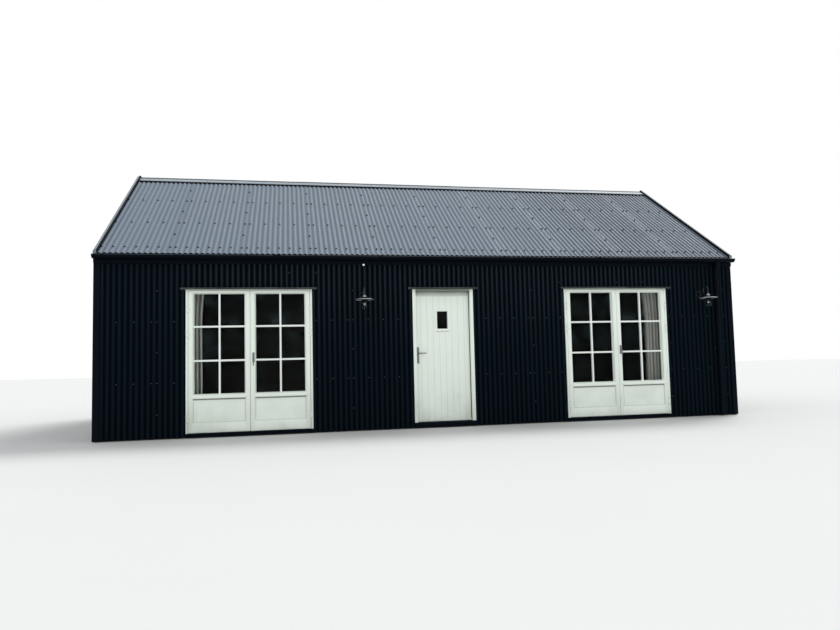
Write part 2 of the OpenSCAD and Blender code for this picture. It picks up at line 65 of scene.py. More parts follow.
END_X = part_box("front_cladding_head")[1].x
FRAME_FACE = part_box("left_glazed_frame")[0].y
RIDGE_FLANGE = -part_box("ridge_cap")[0].y / math.cos(ROOF_PITCH)
FULL_TURN = 2 * math.pi

# The sheets' pitch, the crests that a roof sheet covers and a seam of the front wall's sheets
PITCH = 0.0762
ROOF_CRESTS = 13
WALL_SEAM = -1.34

# Places that the photo gives: heights over the ground, and X along the cabin
LEVER_Z = 1.124
GLAZED_HINGES = (0.270, 1.455, 1.815)
FRONT_HINGES = (0.300, 1.090, 1.880)
PANEL_FOOT, PANEL_TOP = 0.212, 0.550
LAMP_PLACES = (-1.225, 4.340)
LAMP_SHADE_Z = 1.910
DOWNPIPE_X = 4.640
PIPE_CLIPS = (2.230, 1.110, 0.200)


def colour(name, description, value):
    return bpy.props.FloatVectorProperty(
        name=name, description=description, default=value, size=3, min=0, max=1, subtype="COLOR")


def length(name, description, value, low=0.0, high=5.0):
    return bpy.props.FloatProperty(
        name=name, description=description, default=value, min=low, max=high, unit="LENGTH", precision=4)


def number(name, description, value, low, high):
    return bpy.props.FloatProperty(name=name, description=description, default=value, min=low, max=high)


def count(name, description, value, low=1, high=200):
    return bpy.props.IntProperty(name=name, description=description, default=value, min=low, max=high)


class CabinSheets(bpy.types.PropertyGroup):
    """Sizes of the corrugated sheets and their fasteners"""

    pitch: length("Corrugation pitch", "Distance from crest to crest", PITCH)
    depth: length("Corrugation depth", "Height of the crests over the valleys", 0.0172)
    steel: length("Steel thickness", "Thickness of the sheets", 0.0007)
    crests: count("Crests a sheet", "Corrugations that each roof or gable sheet covers", ROOF_CRESTS)
    wall_crests: count("Crests a wall sheet", "Corrugations that each sheet of the long walls covers", 12)
    lap: length("Side lap", "Width by which a sheet lies over the next", 0.114)
    lap_flatness: number("Lap flatness", "How far the laps are pressed flat", 0.38, 0, 1)
    steps: count("Steps a corrugation", "Faces across each corrugation", 8, 4, 16)
    washer: length("Washer radius", "Radius of the fasteners' washers", 0.0115)
    head: length("Head width", "Width of the fasteners' hexagon heads", 0.0095)


class CabinJoinery(bpy.types.PropertyGroup):
    """Sizes of the doors' boards, beads and bars"""

    arris: length("Arris", "Rounding of the boards' edges", 0.0025)
    stile: length("Stile width", "Width of the glazed doors' stiles", 0.060)
    bead: length("Bead width", "Width of the glazing beads", 0.014)
    bar: length("Bar width", "Width of the glazing bars", 0.029)
    boards: count("Front door boards", "Boards across the front door", 9, 3, 20)
    groove: length("Board groove", "Depth of the V between two boards", 0.004)


class CabinColours(bpy.types.PropertyGroup):
    """Colours of the cabin's finishes"""

    cladding: colour("Cladding", "Coated steel on the walls", (0.0036, 0.0088, 0.0145))
    roof: colour("Roof", "Coated steel on the roof", (0.146, 0.181, 0.224))
    flashing: colour("Flashings", "Ridge and verge flashings", (0.27, 0.305, 0.34))
    drip: colour("Door flashings", "Drip flashings over the doors", (0.037, 0.044, 0.041))
    trim: colour("Trim", "Fascias, gutters and downpipes", (0.0021, 0.0039, 0.0080))
    joinery: colour("Joinery", "Painted doors and frames", (0.88, 0.945, 0.86))
    steel: colour("Door steel", "Levers, plates and hinges", (0.20, 0.21, 0.205))
    lamp: colour("Lamp metal", "Galvanised lamp arms and shades", (0.29, 0.315, 0.335))
    glass: colour("Glass", "Tint of the door glass", (0.003, 0.006, 0.006))
    curtain: colour("Curtains", "Cloth behind the end panes", (0.88, 0.88, 0.82))
    timber: colour("Timber", "Stained boards inside the walls and roof", (0.098, 0.068, 0.043))
    floor: colour("Floor", "Oiled floor boards", (0.085, 0.059, 0.037))


class CabinStage(bpy.types.PropertyGroup):
    """Camera, light and floor"""

    lens: number("Lens", "Focal length on a 36 mm sensor", 28.29, 10, 200)
    ground: colour("Ground", "Colour of the pale floor", (0.62, 0.62, 0.61))
    sky: number("Sky light", "Strength of the light from all round", 0.96, 0, 5)
    sun: number("Sun", "Strength of the soft key light", 2.1, 0, 20)


GROUPS = {
    "cabin_sheets": CabinSheets, "cabin_joinery": CabinJoinery,
    "cabin_colours": CabinColours, "cabin_stage": CabinStage,
}


# ---- node expressions

class Field:
    """A socket in a node tree, used as a value in Python expressions"""

    def __init__(self, maker, socket):
        self.maker = maker
        self.socket = socket

    def _math(self, operation, *values):
        return self.maker.node("ShaderNodeMath", {"operation": operation}, dict(enumerate(values)))

    def __add__(self, other):
        return self._math("ADD", self, other)

    __radd__ = __add__

    def __sub__(self, other):
        return self._math("SUBTRACT", self, other)

    def __rsub__(self, other):
        return self._math("SUBTRACT", other, self)

    def __mul__(self, other):
        return self._math("MULTIPLY", self, other)

    __rmul__ = __mul__

    def __truediv__(self, other):
        return self._math("DIVIDE", self, other)

    def __rtruediv__(self, other):
        return self._math("DIVIDE", other, self)

    def __pow__(self, other):
        return self._math("POWER", self, other)

    def __rpow__(self, other):
        return self._math("POWER", other, self)

    def __abs__(self):
        return self._math("ABSOLUTE", self)

    def cosine(self):
        return self._math("COSINE", self)

    def floor(self):
        return self._math("FLOOR", self)

    def rounded(self):
        return self._math("ROUND", self)

    def least(self, other):
        return self._math("MINIMUM", self, other)

    def most(self, other):
        return self._math("MAXIMUM", self, other)

    def between(self, low, high):
        """0 at low and under, 1 at high and over, smooth between"""
        return self.maker.node(
            "ShaderNodeMapRange", {"interpolation_type": "SMOOTHSTEP"},
            {"Value": self, "From Min": low, "From Max": high})

    def other(self, name):
        """Another output of the same node"""
        return Field(self.maker, self.socket.node.outputs[name])


class Maker:
    """Adds nodes to one tree"""

    def __init__(self, tree):
        self.tree = tree

    def node(self, kind, settings=None, sockets=None, output=0):
        """One node: its settings first, then the values or links of its sockets"""
        made = self.tree.nodes.new(kind)
        for name, value in (settings or {}).items():
            setattr(made, name, value)
        for key, value in (sockets or {}).items():
            if isinstance(value, Field):
                self.tree.links.new(value.socket, made.inputs[key])
            else:
                made.inputs[key].default_value = value
        return Field(self, made.outputs[output]) if made.outputs else None

    def shade(self, a, b, factor):
        """A colour between two colours"""
        full = [c if isinstance(c, Field) else (*c, 1.0) for c in (a, b)]
        return self.node("ShaderNodeMix", {"data_type": "RGBA"},
                         {0: factor, 6: full[0], 7: full[1]}, output=2)

    def vector(self, operation, a, b):
        return self.node("ShaderNodeVectorMath", {"operation": operation}, {0: a, 1: b})

    def point(self, x=0.0, y=0.0, z=0.0):
        return self.node("ShaderNodeCombineXYZ", None, {0: x, 1: y, 2: z})

    def place(self):
        """Position on the piece, in metres in the cabin's frame"""
        return self.node("ShaderNodeTexCoord").other("Object")

    def axes(self, place):
        """The X, Y and Z of a position"""
        split = self.node("ShaderNodeSeparateXYZ", None, {0: place})
        return split, split.other("Y"), split.other("Z")

    def noise(self, place, scale, detail=3.0, roughness=0.55, stretch=None):
        """Noise from 0 to 1. stretch scales the position along each axis first."""
        if stretch:
            place = self.vector("MULTIPLY", place, stretch)
        return self.node("ShaderNodeTexNoise", None, {
            "Vector": place, "Scale": scale, "Detail": detail, "Roughness": roughness})

    def bump(self, height, distance, strength):
        return self.node("ShaderNodeBump", None, {
            "Height": height, "Distance": distance, "Strength": strength})


# ---- finishes

FINISHES = {}


def finish(name, surface, **constants):
    """A material whose varying sockets come from surface and whose constants are set as they are"""
    material = bpy.data.materials.new(name)
    material.use_nodes = True
    material.node_tree.nodes.clear()
    make = Maker(material.node_tree)
    shader = make.node("ShaderNodeBsdfPrincipled", None, {**constants, **surface(make)})
    make.node("ShaderNodeOutputMaterial", None, {"Surface": shader})
    FINISHES[name] = material
    return material


def toned(tint, factor):
    """A tint made darker or paler"""
    return tuple(min(1, c * factor) for c in tint)


def coated_steel(tint, dust, streaks, across, shade=0.0, lean=0.0, drift=0.0, origin=0.0,
                 laps=0.0, brightening=None):
    """Satin coated sheet: rain streaks down it, dust in the valleys, mottling and dents.
    across picks the axis that crosses the corrugations, or is None on folded trim. shade is how
    much painted shade darkens the valleys, lean turns that painted shade up one side of them, drift
    is how much less of it there is at the cabin's left end, origin is where a crest lies, and laps is
    the distance between side laps, where the painted shade is spread out evenly. The last argument is
    the tone of a painted highlight on the crests, strongest high up and least towards the cabin's ends."""
    def surface(make):
        place = make.place()
        axis = make.axes(place)
        mottle = make.noise(place, 1.3, 4.0)
        along = (34, 34, 0.7) if across is None else tuple(34 if i == across else 1.1 for i in range(3))
        run = make.noise(place, 1.0, 4.0, 0.6, along)
        grime = make.noise(place, 9.0, 5.0, 0.65)
        speck = make.noise(place, 140.0, 2.0, 0.5)
        wear = (run.between(0.42, 0.72) * 0.5 + mottle.between(0.35, 0.7) * 0.5) * streaks
        valley = 0.0
        if across is not None:
            turn = (axis[across] - origin) * (FULL_TURN / PITCH)
            valley = (1 - turn.cosine()) * 0.5
            wear = wear + valley * grime.between(0.38, 0.66) * streaks * 0.7
        splash = 1 - axis[2].between(0.02, 0.42)
        wear = (wear + splash * grime.between(0.3, 0.62) * 0.5).least(1.0)
        base = make.shade(tint, dust, wear)
        base = make.shade(base, toned(tint, 0.72), speck.between(0.56, 0.7) * 0.35)
        # A painted highlight on the crests, strongest high up and least towards the cabin's ends
        if brightening:
            crest = (1 - valley).between(0.62, 1.0)
            inward = (END_X - abs(axis[0])).between(0.6, 1.8) * 0.75 + 0.25
            base = make.shade(base, brightening, crest * (0.08 + axis[2].between(1.0, 2.5) * 0.92) * inward)
        # Painted shade in the valleys, leaning up one side of them
        if shade:
            darkening = ((1 - (turn - lean).cosine()) * 0.5).between(0.25, 0.95)
            if laps:
                # At the flattened side laps the painted shade is spread out to one even level
                lap = (axis[across] - origin) / laps
                near = (1 - abs(lap - lap.rounded()) / 0.09).between(0.0, 1.0)
                darkening = darkening + (0.75 - darkening) * near * 0.8
            amount = shade * (1 - drift * (1 - axis[0].between(0.6, 3.6)))
            base = make.shade(base, toned(tint, 0.25), darkening * amount)
        return {
            "Base Color": base,
            "Roughness": 0.40 + wear * 0.24 + (grime - 0.5) * 0.12,
            "Normal": make.bump(speck * 0.25 + mottle * 2.0, 0.0006, 0.35),
        }
    return surface


def folded_steel(tint, dust):
    """Folded flashing: long soft streaks, dull patches and fine scratches"""
    def surface(make):
        place = make.place()
        patch = make.noise(place, 3.1, 4.0)
        run = make.noise(place, 1.0, 3.0, 0.6, (3, 60, 60))
        speck = make.noise(place, 180.0, 2.0)
        wear = patch.between(0.4, 0.7) * 0.55 + run.between(0.45, 0.7) * 0.35
        return {
            "Base Color": make.shade(tint, dust, wear),
            "Roughness": 0.34 + wear * 0.25,
            "Normal": make.bump(speck * 0.3 + patch * 1.5, 0.0005, 0.35),
        }
    return surface


def brushed_paint(tint, board=None, shelter=None):
    """Opaque joinery paint: brush strokes, faint grain, and green-grey grime low down. board is where
    upright boards start and their width, for the dirt in the grooves between them. The last argument
    holds the heights over which a painted shadow darkens the paint under a flashing."""
    def surface(make):
        place = make.place()
        axis = make.axes(place)
        high = axis[2]
        stroke = make.noise(place, 1.0, 4.0, 0.6, (150, 150, 5))
        grain = make.noise(place, 1.0, 3.0, 0.6, (60, 60, 1.6))
        patch = make.noise(place, 2.3, 4.0)
        darkening = (1 - high.between(0.05, 0.75)) * patch.between(0.35, 0.7) * 0.55
        streak = grain.between(0.52, 0.75) * 0.16 + patch.between(0.5, 0.75) * 0.10
        base = make.shade(tint, (0.60, 0.65, 0.56), streak)
        base = make.shade(base, (0.30, 0.34, 0.24), darkening * 0.42)
        if board:
            row = (axis[0] - board[0]) / board[1]
            groove = (abs(row - row.floor() - 0.5) * 2).between(0.89, 0.97)
            base = make.shade(base, (0.42, 0.46, 0.38), groove * (0.12 + patch * 0.35))
        # A mottled painted shadow under a flashing
        if shelter:
            shade = high.between(*shelter)
            base = make.shade(base, (0.11, 0.135, 0.095), shade * (0.55 + patch * 0.6))
        return {
            "Base Color": base,
            "Roughness": 0.36 + patch * 0.16 + darkening * 0.2,
            "Normal": make.bump(stroke * 0.6 + grain * 1.2, 0.0004, 0.45),
        }
    return surface


def satin_steel(tint):
    """Brushed stainless steel with finger marks"""
    def surface(make):
        place = make.place()
        brush = make.noise(place, 1.0, 3.0, 0.6, (900, 900, 60))
        touch = make.noise(place, 38.0, 3.0)
        return {
            "Base Color": make.shade(tint, toned(tint, 0.78), touch.between(0.42, 0.66)),
            "Roughness": 0.24 + touch * 0.16 + brush * 0.06,
            "Normal": make.bump(brush, 0.0001, 0.4),
        }
    return surface


def galvanised(tint, white=0.38):
    """Hot-dipped zinc: crystal patches and white bloom"""
    def surface(make):
        place = make.place()
        cell = make.node("ShaderNodeTexVoronoi", {"feature": "F1"}, {"Vector": place, "Scale": 95.0})
        spangle = make.node("ShaderNodeSeparateColor", None, {0: cell.other("Color")})
        bloom = make.noise(place, 26.0, 4.0).between(0.44, 0.68)
        base = make.shade(toned(tint, 0.82), toned(tint, 1.25), spangle)
        return {
            "Base Color": make.shade(base, (0.62, 0.64, 0.63), bloom * white),
            "Roughness": 0.30 + bloom * 0.22 + spangle * 0.08,
            "Normal": make.bump(spangle * 0.5 + bloom, 0.0003, 0.4),
        }
    return surface


def window_glass(tint, clear):
    """Sealed glass, darkened by the unlit room, with a film of dust, faint rolling waves and blue-green
    patches of painted reflection
    """
    def surface(make):
        place = make.place()
        film = make.noise(place, 5.0, 4.0)
        wave = make.noise(place, 1.7, 1.0)
        high = make.axes(place)[2]
        low = 1 - high.between(0.6, 0.85)
        dust = film.between(0.45, 0.75) * 0.5 + low * 0.5
        # Blue-green patches of painted reflection, fewer low down
        painted_reflection = make.noise(place, 6.5, 8.0, 0.75).between(0.47, 0.70) * high.between(0.2, 1.5)
        base = make.shade(tint, (0.12, 0.20, 0.23), 0.02 + painted_reflection * 0.8)
        return {
            "Base Color": make.shade(base, (0.30, 0.31, 0.28), dust * 0.015),
            "Roughness": 0.02 + dust * 0.06,
            "Alpha": (1 - clear) + dust * 0.03,
            "Normal": make.bump(wave, 0.004, 0.25),
        }
    return surface


def jar_glass(make):
    """Clear pressed glass that thickens to a milky rim"""
    place = make.place()
    ripple = make.noise(place, 32.0, 2.0)
    return {
        "Base Color": make.shade((0.010, 0.013, 0.013), (0.03, 0.036, 0.038), ripple.between(0.4, 0.6)),
        "Roughness": 0.03 + ripple * 0.04,
        "Alpha": 0.16 + ripple.between(0.45, 0.7) * 0.08,
        "Normal": make.bump(ripple, 0.0012, 0.4),
    }


def frosted_bulb(make):
    """White glass, a little cloudy"""
    place = make.place()
    cloud = make.noise(place, 60.0, 3.0)
    return {
        "Base Color": make.shade((0.86, 0.87, 0.84), (0.74, 0.76, 0.74), cloud.between(0.4, 0.7)),
        "Roughness": 0.22 + cloud * 0.1,
        "Normal": make.bump(cloud, 0.0002, 0.3),
    }


def plain_weave(tint, front, back):
    """Linen curtain: warp and weft, slubs, soft colour drift, and painted shade on the cloth that lies
    furthest back in the folds. front and back are how far the folds reach."""
    thread_width = 0.0016

    def surface(make):
        uv = make.node("ShaderNodeUVMap", {"uv_map": "cloth"})
        axis = make.axes(uv)
        warp, weft = (0.5 + (axis[i] * (FULL_TURN / thread_width)).cosine() * 0.5 for i in range(2))
        slub = make.noise(uv, 1.0, 3.0, 0.6, (500, 18, 1))
        drift = make.noise(uv, 2.0, 3.0)
        thread = (warp - 0.5) * (weft - 0.5) * 4
        shade = slub.between(0.4, 0.75) * 0.22 + drift.between(0.35, 0.7) * 0.18
        # Painted shade on the cloth furthest back in the folds
        fold_shade = make.axes(make.place())[1].between(front, back)
        base = make.shade(tint, (0.40, 0.40, 0.37), shade)
        return {
            "Base Color": make.shade(base, (0.16, 0.155, 0.135), fold_shade * 0.85),
            "Roughness": 0.82 + (slub - 0.5) * 0.1,
            "Normal": make.bump(thread + slub * 0.8, 0.0004, 0.5),
        }
    return surface


def boards(tint, across, width, along, gloss=0.45):
    """Planed boards: grooves between them, grain along them, knots and a tone for each board"""
    def surface(make):
        place = make.place()
        axis = make.axes(place)
        row = axis[across] / width
        board = row.floor()
        edge = (abs(row - board - 0.5) * 2).between(0.93, 0.995)
        seed = make.node("ShaderNodeTexWhiteNoise", {"noise_dimensions": "1D"}, {"W": board})
        shift = make.point(seed * 7.0, seed * 3.0, seed * 5.0)
        stretch = tuple(1.6 if i == along else 26.0 for i in range(3))
        grain = make.noise(make.vector("ADD", place, shift), 1.0, 5.0, 0.62, stretch)
        knot = make.noise(place, 3.2, 2.0).between(0.70, 0.76)
        base = make.shade(tint, toned(tint, 0.52), grain.between(0.40, 0.68) * 0.5)
        base = make.shade(base, toned(tint, 1.22), seed * 0.4)
        base = make.shade(base, toned(tint, 0.32), (knot * 0.8).most(edge))
        return {
            "Base Color": base,
            "Roughness": gloss + grain * 0.18,
            "Normal": make.bump(grain * 0.4 - edge * 3.0, 0.0012, 0.5),
        }
    return surface


def worn_rubber(make):
    """Black rubber, paler in chalky patches"""
    place = make.place()
    brightening = make.noise(place, 55.0, 3.0).between(0.4, 0.7)
    return {
        "Base Color": make.shade((0.006, 0.007, 0.009), (0.020, 0.022, 0.026), brightening),
        "Roughness": 0.62 + brightening * 0.2,
        "Normal": make.bump(brightening, 0.0002, 0.4),
    }


def closed_foam(make):
    """Black closed-cell foam"""
    place = make.place()
    cell = make.noise(place, 240.0, 2.0)
    return {
        "Base Color": make.shade((0.004, 0.004, 0.005), (0.010, 0.010, 0.011), cell),
        "Roughness": 0.85 + cell * 0.1,
        "Normal": make.bump(cell, 0.0004, 0.5),
    }


def make_finishes(context):
    """Every finish of the cabin, from the colours in the sidebar"""
    c = context.scene.cabin_colours
    tint = {name: tuple(getattr(c, name)) for name in CabinColours.__annotations__}
    wall_dust = (0.0052, 0.0098, 0.0148)
    roof_dust = (0.158, 0.191, 0.229)
    # The tone of the painted highlight on the walls' crests
    brightening = (0.0150, 0.0240, 0.0300)
    # Paler tones for the gutters' rolled beads: a painted highlight along their rims
    bead_highlight, bead_highlight_pale = (0.045, 0.052, 0.063), (0.090, 0.098, 0.108)
    low, dull, faint, satin = ({"Specular IOR Level": level} for level in (0.012, 0.03, 0.06, 0.30))
    # The walls' valleys get painted shade, and their crests a painted highlight
    for wall, across, crest in (("front", 0, WALL_SEAM), ("rear", 0, -WALL_SEAM), ("gable", 1, 0.0)):
        finish(f"{wall}_cladding_coat", coated_steel(
            tint["cladding"], wall_dust, 0.5, across, 1.0, origin=crest, brightening=brightening), **low)
    # The roof's valleys get painted shade that leans up one side of them and is strongest towards the cabin's
    # right end
    finish("roof_coat", coated_steel(
        tint["roof"], roof_dust, 0.5, 0, 0.75, 0.7, 0.8, laps=ROOF_CRESTS * PITCH), **faint)
    finish("black_trim_coat", coated_steel(tint["trim"], wall_dust, 0.5, None), **dull)
    # Of these, the roll coat's darker tone is painted shade on the ridge's roll and a painted shadow under it
    # on the flange
    for name, factor, dust in (("flashing", 1.0, (0.35, 0.385, 0.41)), ("verge", 0.8, (0.25, 0.28, 0.31)),
                               ("roll", 0.34, (0.12, 0.135, 0.15)), ("screw", 0.42, (0.13, 0.145, 0.16))):
        finish(f"{name}_coat", folded_steel(toned(tint["flashing"], factor), dust), **faint)
    finish("door_drip_coat", folded_steel(tint["drip"], (0.09, 0.10, 0.10)), **dull)
    finish("trim_edge_coat", coated_steel(bead_highlight, bead_highlight_pale, 0.6, None), **dull)
    # The moulding paint is darker: painted shade round the sunk panels and under the front door's window
    # sill. The last tone is a painted shadow under the glazed doors' weather mouldings.
    for name, paint in (("joinery", tint["joinery"]), ("bar", (0.93, 0.97, 0.92)),
                        ("moulding", (0.64, 0.70, 0.61)), ("damp", (0.20, 0.225, 0.19))):
        finish(f"{name}_paint", brushed_paint(paint), **satin)
    door_low, door_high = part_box("front_door_leaf")
    board = (door_high.x - door_low.x) / context.scene.cabin_joinery.boards
    # Heights of the painted shadow under the front door's flashing
    shelter = (door_high.z - 0.145, door_high.z + 0.020)
    finish("boarded_paint", brushed_paint(tint["joinery"], (door_low.x, board)), **satin)
    finish("sheltered_paint", brushed_paint(tint["joinery"], None, shelter), **satin)
    finish("satin_steel", satin_steel(tint["steel"]), Metallic=1.0)
    finish("lamp_zinc", galvanised(tint["lamp"]), Metallic=0.85)
    finish("arm_zinc", galvanised(toned(tint["lamp"], 0.13), 0.03), Metallic=0.85)
    finish("pane_glass", window_glass(tint["glass"], 0.90), **{"IOR": 1.45, "Specular IOR Level": 0.08})
    finish("jar_glass", jar_glass, IOR=1.45)
    finish("bulb_glass", frosted_bulb)
    cloth = (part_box("left_curtain")[0].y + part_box("left_curtain")[1].y) / 2
    finish("curtain_weave", plain_weave(tint["curtain"], cloth - 0.025, cloth + 0.030),
           **{"Specular IOR Level": 0.15})
    finish("wall_boards", boards(tint["timber"], 2, 0.12, 0))
    finish("rafter_boards", boards(tint["timber"], 1, 0.12, 0))
    finish("floor_boards", boards(tint["floor"], 1, 0.14, 0, 0.32))
    finish("washer_rubber", worn_rubber, **dull)
    finish("profile_foam", closed_foam, **low)


# ---- mesh building

def round_angles(sides):
    """Angles of equal steps round a turn"""
    return [FULL_TURN * k / sides for k in range(sides)]


class Workpiece:
    """Collects the closed solids of one piece in a mesh, each with the number of its finish"""

    def __init__(self):
        self.bm = bmesh.new()
        self.done = self.bm.faces.layers.int.new("done")

    def _mark(self, material):
        for face in self.bm.faces:
            if not face[self.done]:
                face[self.done] = 1
                face.material_index = material

    def block(self, low, high, arris=0.0, material=0, segments=2):
        """A box between two corners with rounded arrises"""
        corners = bmesh.ops.create_cube(self.bm, size=1)["verts"]
        for v in corners:
            v.co = Vector([low[i] + (high[i] - low[i]) * (v.co[i] + 0.5) for i in range(3)])
        if arris > 0:
            edges = list(dict.fromkeys(e for v in corners for e in v.link_edges))
            bmesh.ops.bevel(
                self.bm, geom=edges, offset=arris, segments=segments, profile=0.5, affect="EDGES")
        self._mark(material)

    def loops(self, rings, material=0, closed=False):
        """Skins a row of rings that have equal numbers of points. The row is capped at its ends, or
        closed from the last ring to the first."""
        made = [[self.bm.verts.new(p) for p in ring] for ring in rings]
        size = len(made[0])
        pairs = list(zip(made, made[1:])) + ([(made[-1], made[0])] if closed else [])
        for a, b in pairs:
            for i in range(size):
                self.bm.faces.new((a[i], a[(i + 1) % size], b[(i + 1) % size], b[i]))
        if not closed:
            self.bm.faces.new(made[0][::-1])
            self.bm.faces.new(made[-1])
        self._mark(material)

    def prism(self, outline, axis, start, end, material=0):
        """An outline in the other two axes, drawn out along one axis"""
        def at(point, value):
            point = list(point)
            point.insert(axis, value)
            return point
        self.loops([[at(p, v) for p in outline] for v in (start, end)], material)

    def lathe(self, profile, centre, direction=(0, 0, 1), sides=32, material=0):
        """A profile of (radius, height) turned about a line; radius 0 is a pole"""
        turn = Vector(direction).to_track_quat("Z", "Y").to_matrix()
        centre = Vector(centre)
        rings = []
        for r, h in profile:
            angles = round_angles(sides) if r else [0]
            rings.append([self.bm.verts.new(centre + turn @ Vector((r * math.cos(a), r * math.sin(a), h)))
                          for a in angles])
        ends = list(zip(rings, rings[1:])) + ([(rings[-1], rings[0])] if profile[0][0] else [])
        for a, b in ends:
            for k in range(sides):
                n = (k + 1) % sides
                corners = (a[k % len(a)], a[n % len(a)], b[n % len(b)], b[k % len(b)])
                # A pole stands for two corners, and gives a triangle
                face = list(dict.fromkeys(corners))
                if len(face) > 2:
                    self.bm.faces.new(face)
        self._mark(material)

    def rod(self, start, end, radius, centre, direction=(0, 0, 1), sides=32, material=0):
        """A straight bar between two heights"""
        self.lathe([(0, start), (radius, start), (radius, end), (0, end)], centre, direction, sides, material)

    def tube(self, path, radius, sides=14, material=0):
        """A round bar along a path, with domed ends. radius is one number or one for each point."""
        path = [Vector(p) for p in path]
        radii = radius if hasattr(radius, "__len__") else [radius] * len(path)
        stations = []
        normal = None
        for i, p in enumerate(path):
            ahead = path[min(i + 1, len(path) - 1)] - path[max(i - 1, 0)]
            ahead.normalize()
            if normal is None:
                normal = ahead.orthogonal().normalized()
            normal = (normal - ahead * normal.dot(ahead)).normalized()
            stations.append((p, ahead, normal, ahead.cross(normal), radii[i]))

        def dome(station, sign):
            """Stations that round off an end"""
            p, ahead, normal, side, r = station
            return [(p + ahead * sign * r * math.sin(a), ahead, normal, side, r * math.cos(a))
                    for a in (0.5, 1.0, 1.35)]

        stations = dome(stations[0], -1)[::-1] + stations + dome(stations[-1], 1)
        self.loops([[p + (normal * math.cos(a) + side * math.sin(a)) * r for a in round_angles(sides)]
                    for p, ahead, normal, side, r in stations], material)

    def mitred(self, x0, x1, z0, z1, profile, material=0):
        """A frame round a rectangle in X and Z, mitred at its corners. profile is a closed outline
        of (inset, y)."""
        def corners(inset, y):
            return [(x0 + inset, y, z0 + inset), (x1 - inset, y, z0 + inset),
                    (x1 - inset, y, z1 - inset), (x0 + inset, y, z1 - inset)]
        self.loops([corners(inset, y) for inset, y in profile], material, closed=True)

    def moved(self, matrix):
        """Turns or shifts the whole piece"""
        bmesh.ops.transform(self.bm, matrix=matrix, verts=self.bm.verts)

    def finished(self, name, body, materials, slot=None, replaces=(), smooth=40.0):
        """The finished piece, riding on its body"""
        bmesh.ops.recalc_face_normals(self.bm, faces=self.bm.faces)
        self.bm.faces.layers.int.remove(self.done)
        mesh = bpy.data.meshes.new(name)
        self.bm.to_mesh(mesh)
        self.bm.free()
        return settle(name, mesh, body, materials, replaces, smooth)


def settle(name, mesh, body, materials=(), replaces=(), smooth=40.0):
    """Puts a finished mesh in the scene on its body's empty, and hides the solids that it replaces"""
    mesh.name = name
    for material in materials:
        mesh.materials.append(FINISHES[material])
    mesh.shade_smooth()
    mesh.set_sharp_from_angle(angle=math.radians(smooth))
    piece = bpy.data.objects.new(name, mesh)
    bpy.context.scene.collection.objects.link(piece)
    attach(piece, body)
    if replaces:
        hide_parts(*replaces)
    return piece


def shell(line, thickness):
    """The closed outline of a folded sheet: a line of points and the same line beside it"""
    beside = []
    for i, (x, y) in enumerate(line):
        a, b = line[max(i - 1, 0)], line[min(i + 1, len(line) - 1)]
        run = math.dist(a, b)
        beside.append((x - (b[1] - a[1]) / run * thickness, y + (b[0] - a[0]) / run * thickness))
    return list(line) + beside[::-1]


def repaint(material, *nodes):
    """Gives CAD nodes a finish"""
    for name in nodes:
        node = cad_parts[name]
        if not node.material_slots:
            node.data.materials.append(FINISHES[material])
        for holder in node.material_slots:
            holder.material = FINISHES[material]


# ---- geometry trees

SOCKETS = {int: "NodeSocketInt", float: "NodeSocketFloat", type(None): "NodeSocketMaterial"}


def new_tree(name, inputs):
    """An empty geometry tree with named inputs, and its maker and given values. inputs holds the
    default of each, or None for a material."""
    tree = bpy.data.node_groups.new(name, "GeometryNodeTree")
    tree.interface.new_socket("Geometry", in_out="INPUT", socket_type="NodeSocketGeometry")
    for label, value in inputs.items():
        socket = tree.interface.new_socket(label, in_out="INPUT", socket_type=SOCKETS[type(value)])
        if value is not None:
            socket.default_value = value
    tree.interface.new_socket("Geometry", in_out="OUTPUT", socket_type="NodeSocketGeometry")
    make = Maker(tree)
    entry = tree.nodes.new("NodeGroupInput")
    given = {socket.name: Field(make, socket) for socket in entry.outputs if socket.name}
    return tree, make, given


def close_tree(make, geometry, material=None):
    """Ends a tree in real geometry with its finish"""
    real = make.node("GeometryNodeRealizeInstances", None, {0: geometry})
    if material is not None:
        real = make.node("GeometryNodeSetMaterial", None, {"Geometry": real, "Material": material})
    make.node("NodeGroupOutput", None, {0: real})


def sheet_tree():
    """Corrugated sheets side by side along X, each lapping over the next, with Y along the
    corrugations and crests at Z = 0"""
    tree, make, given = new_tree("corrugated_sheets", {
        "Sheets": 10, "Crests": ROOF_CRESTS, "Length": 3.0, "Pitch": PITCH, "Depth": 0.0172, "Lap": 0.114,
        "Lap Flatness": 0.4, "Lap Lift": 0.0009, "Steps": 8, "Rows": 7, "Material": None})
    cover = given["Crests"] * given["Pitch"]
    width = cover + given["Lap"]
    columns = (width / given["Pitch"] * given["Steps"]).rounded() + 1
    grid = make.node("GeometryNodeMeshGrid", None, {
        "Size X": width, "Size Y": given["Length"], "Vertices X": columns, "Vertices Y": given["Rows"]})
    x = make.node("ShaderNodeSeparateXYZ", None, {0: make.node("GeometryNodeInputPosition")})
    # A seam is a crest, so the middle of a sheet is a crest only when it covers an even number
    phase = (x - cover / 2) / given["Pitch"] * FULL_TURN
    seam = (abs(x) - cover / 2) / (given["Pitch"] * 0.95)
    pressed = given["Lap Flatness"] * (math.e ** (seam * seam * -1))
    wave = (1 - pressed) * phase.cosine()
    rise = given["Depth"] * 0.5 * (wave - 1) + given["Lap Lift"] * (x / width - 0.5)
    sheet = make.node("GeometryNodeSetPosition", None, {"Geometry": grid, "Offset": make.point(z=rise)})
    row = make.node("GeometryNodeMeshLine", {"mode": "OFFSET", "count_mode": "TOTAL"}, {
        "Count": given["Sheets"], "Offset": make.point(x=cover)})
    sheets = make.node("GeometryNodeInstanceOnPoints", None, {"Points": row, "Instance": sheet})
    close_tree(make, sheets, given["Material"])
    return tree


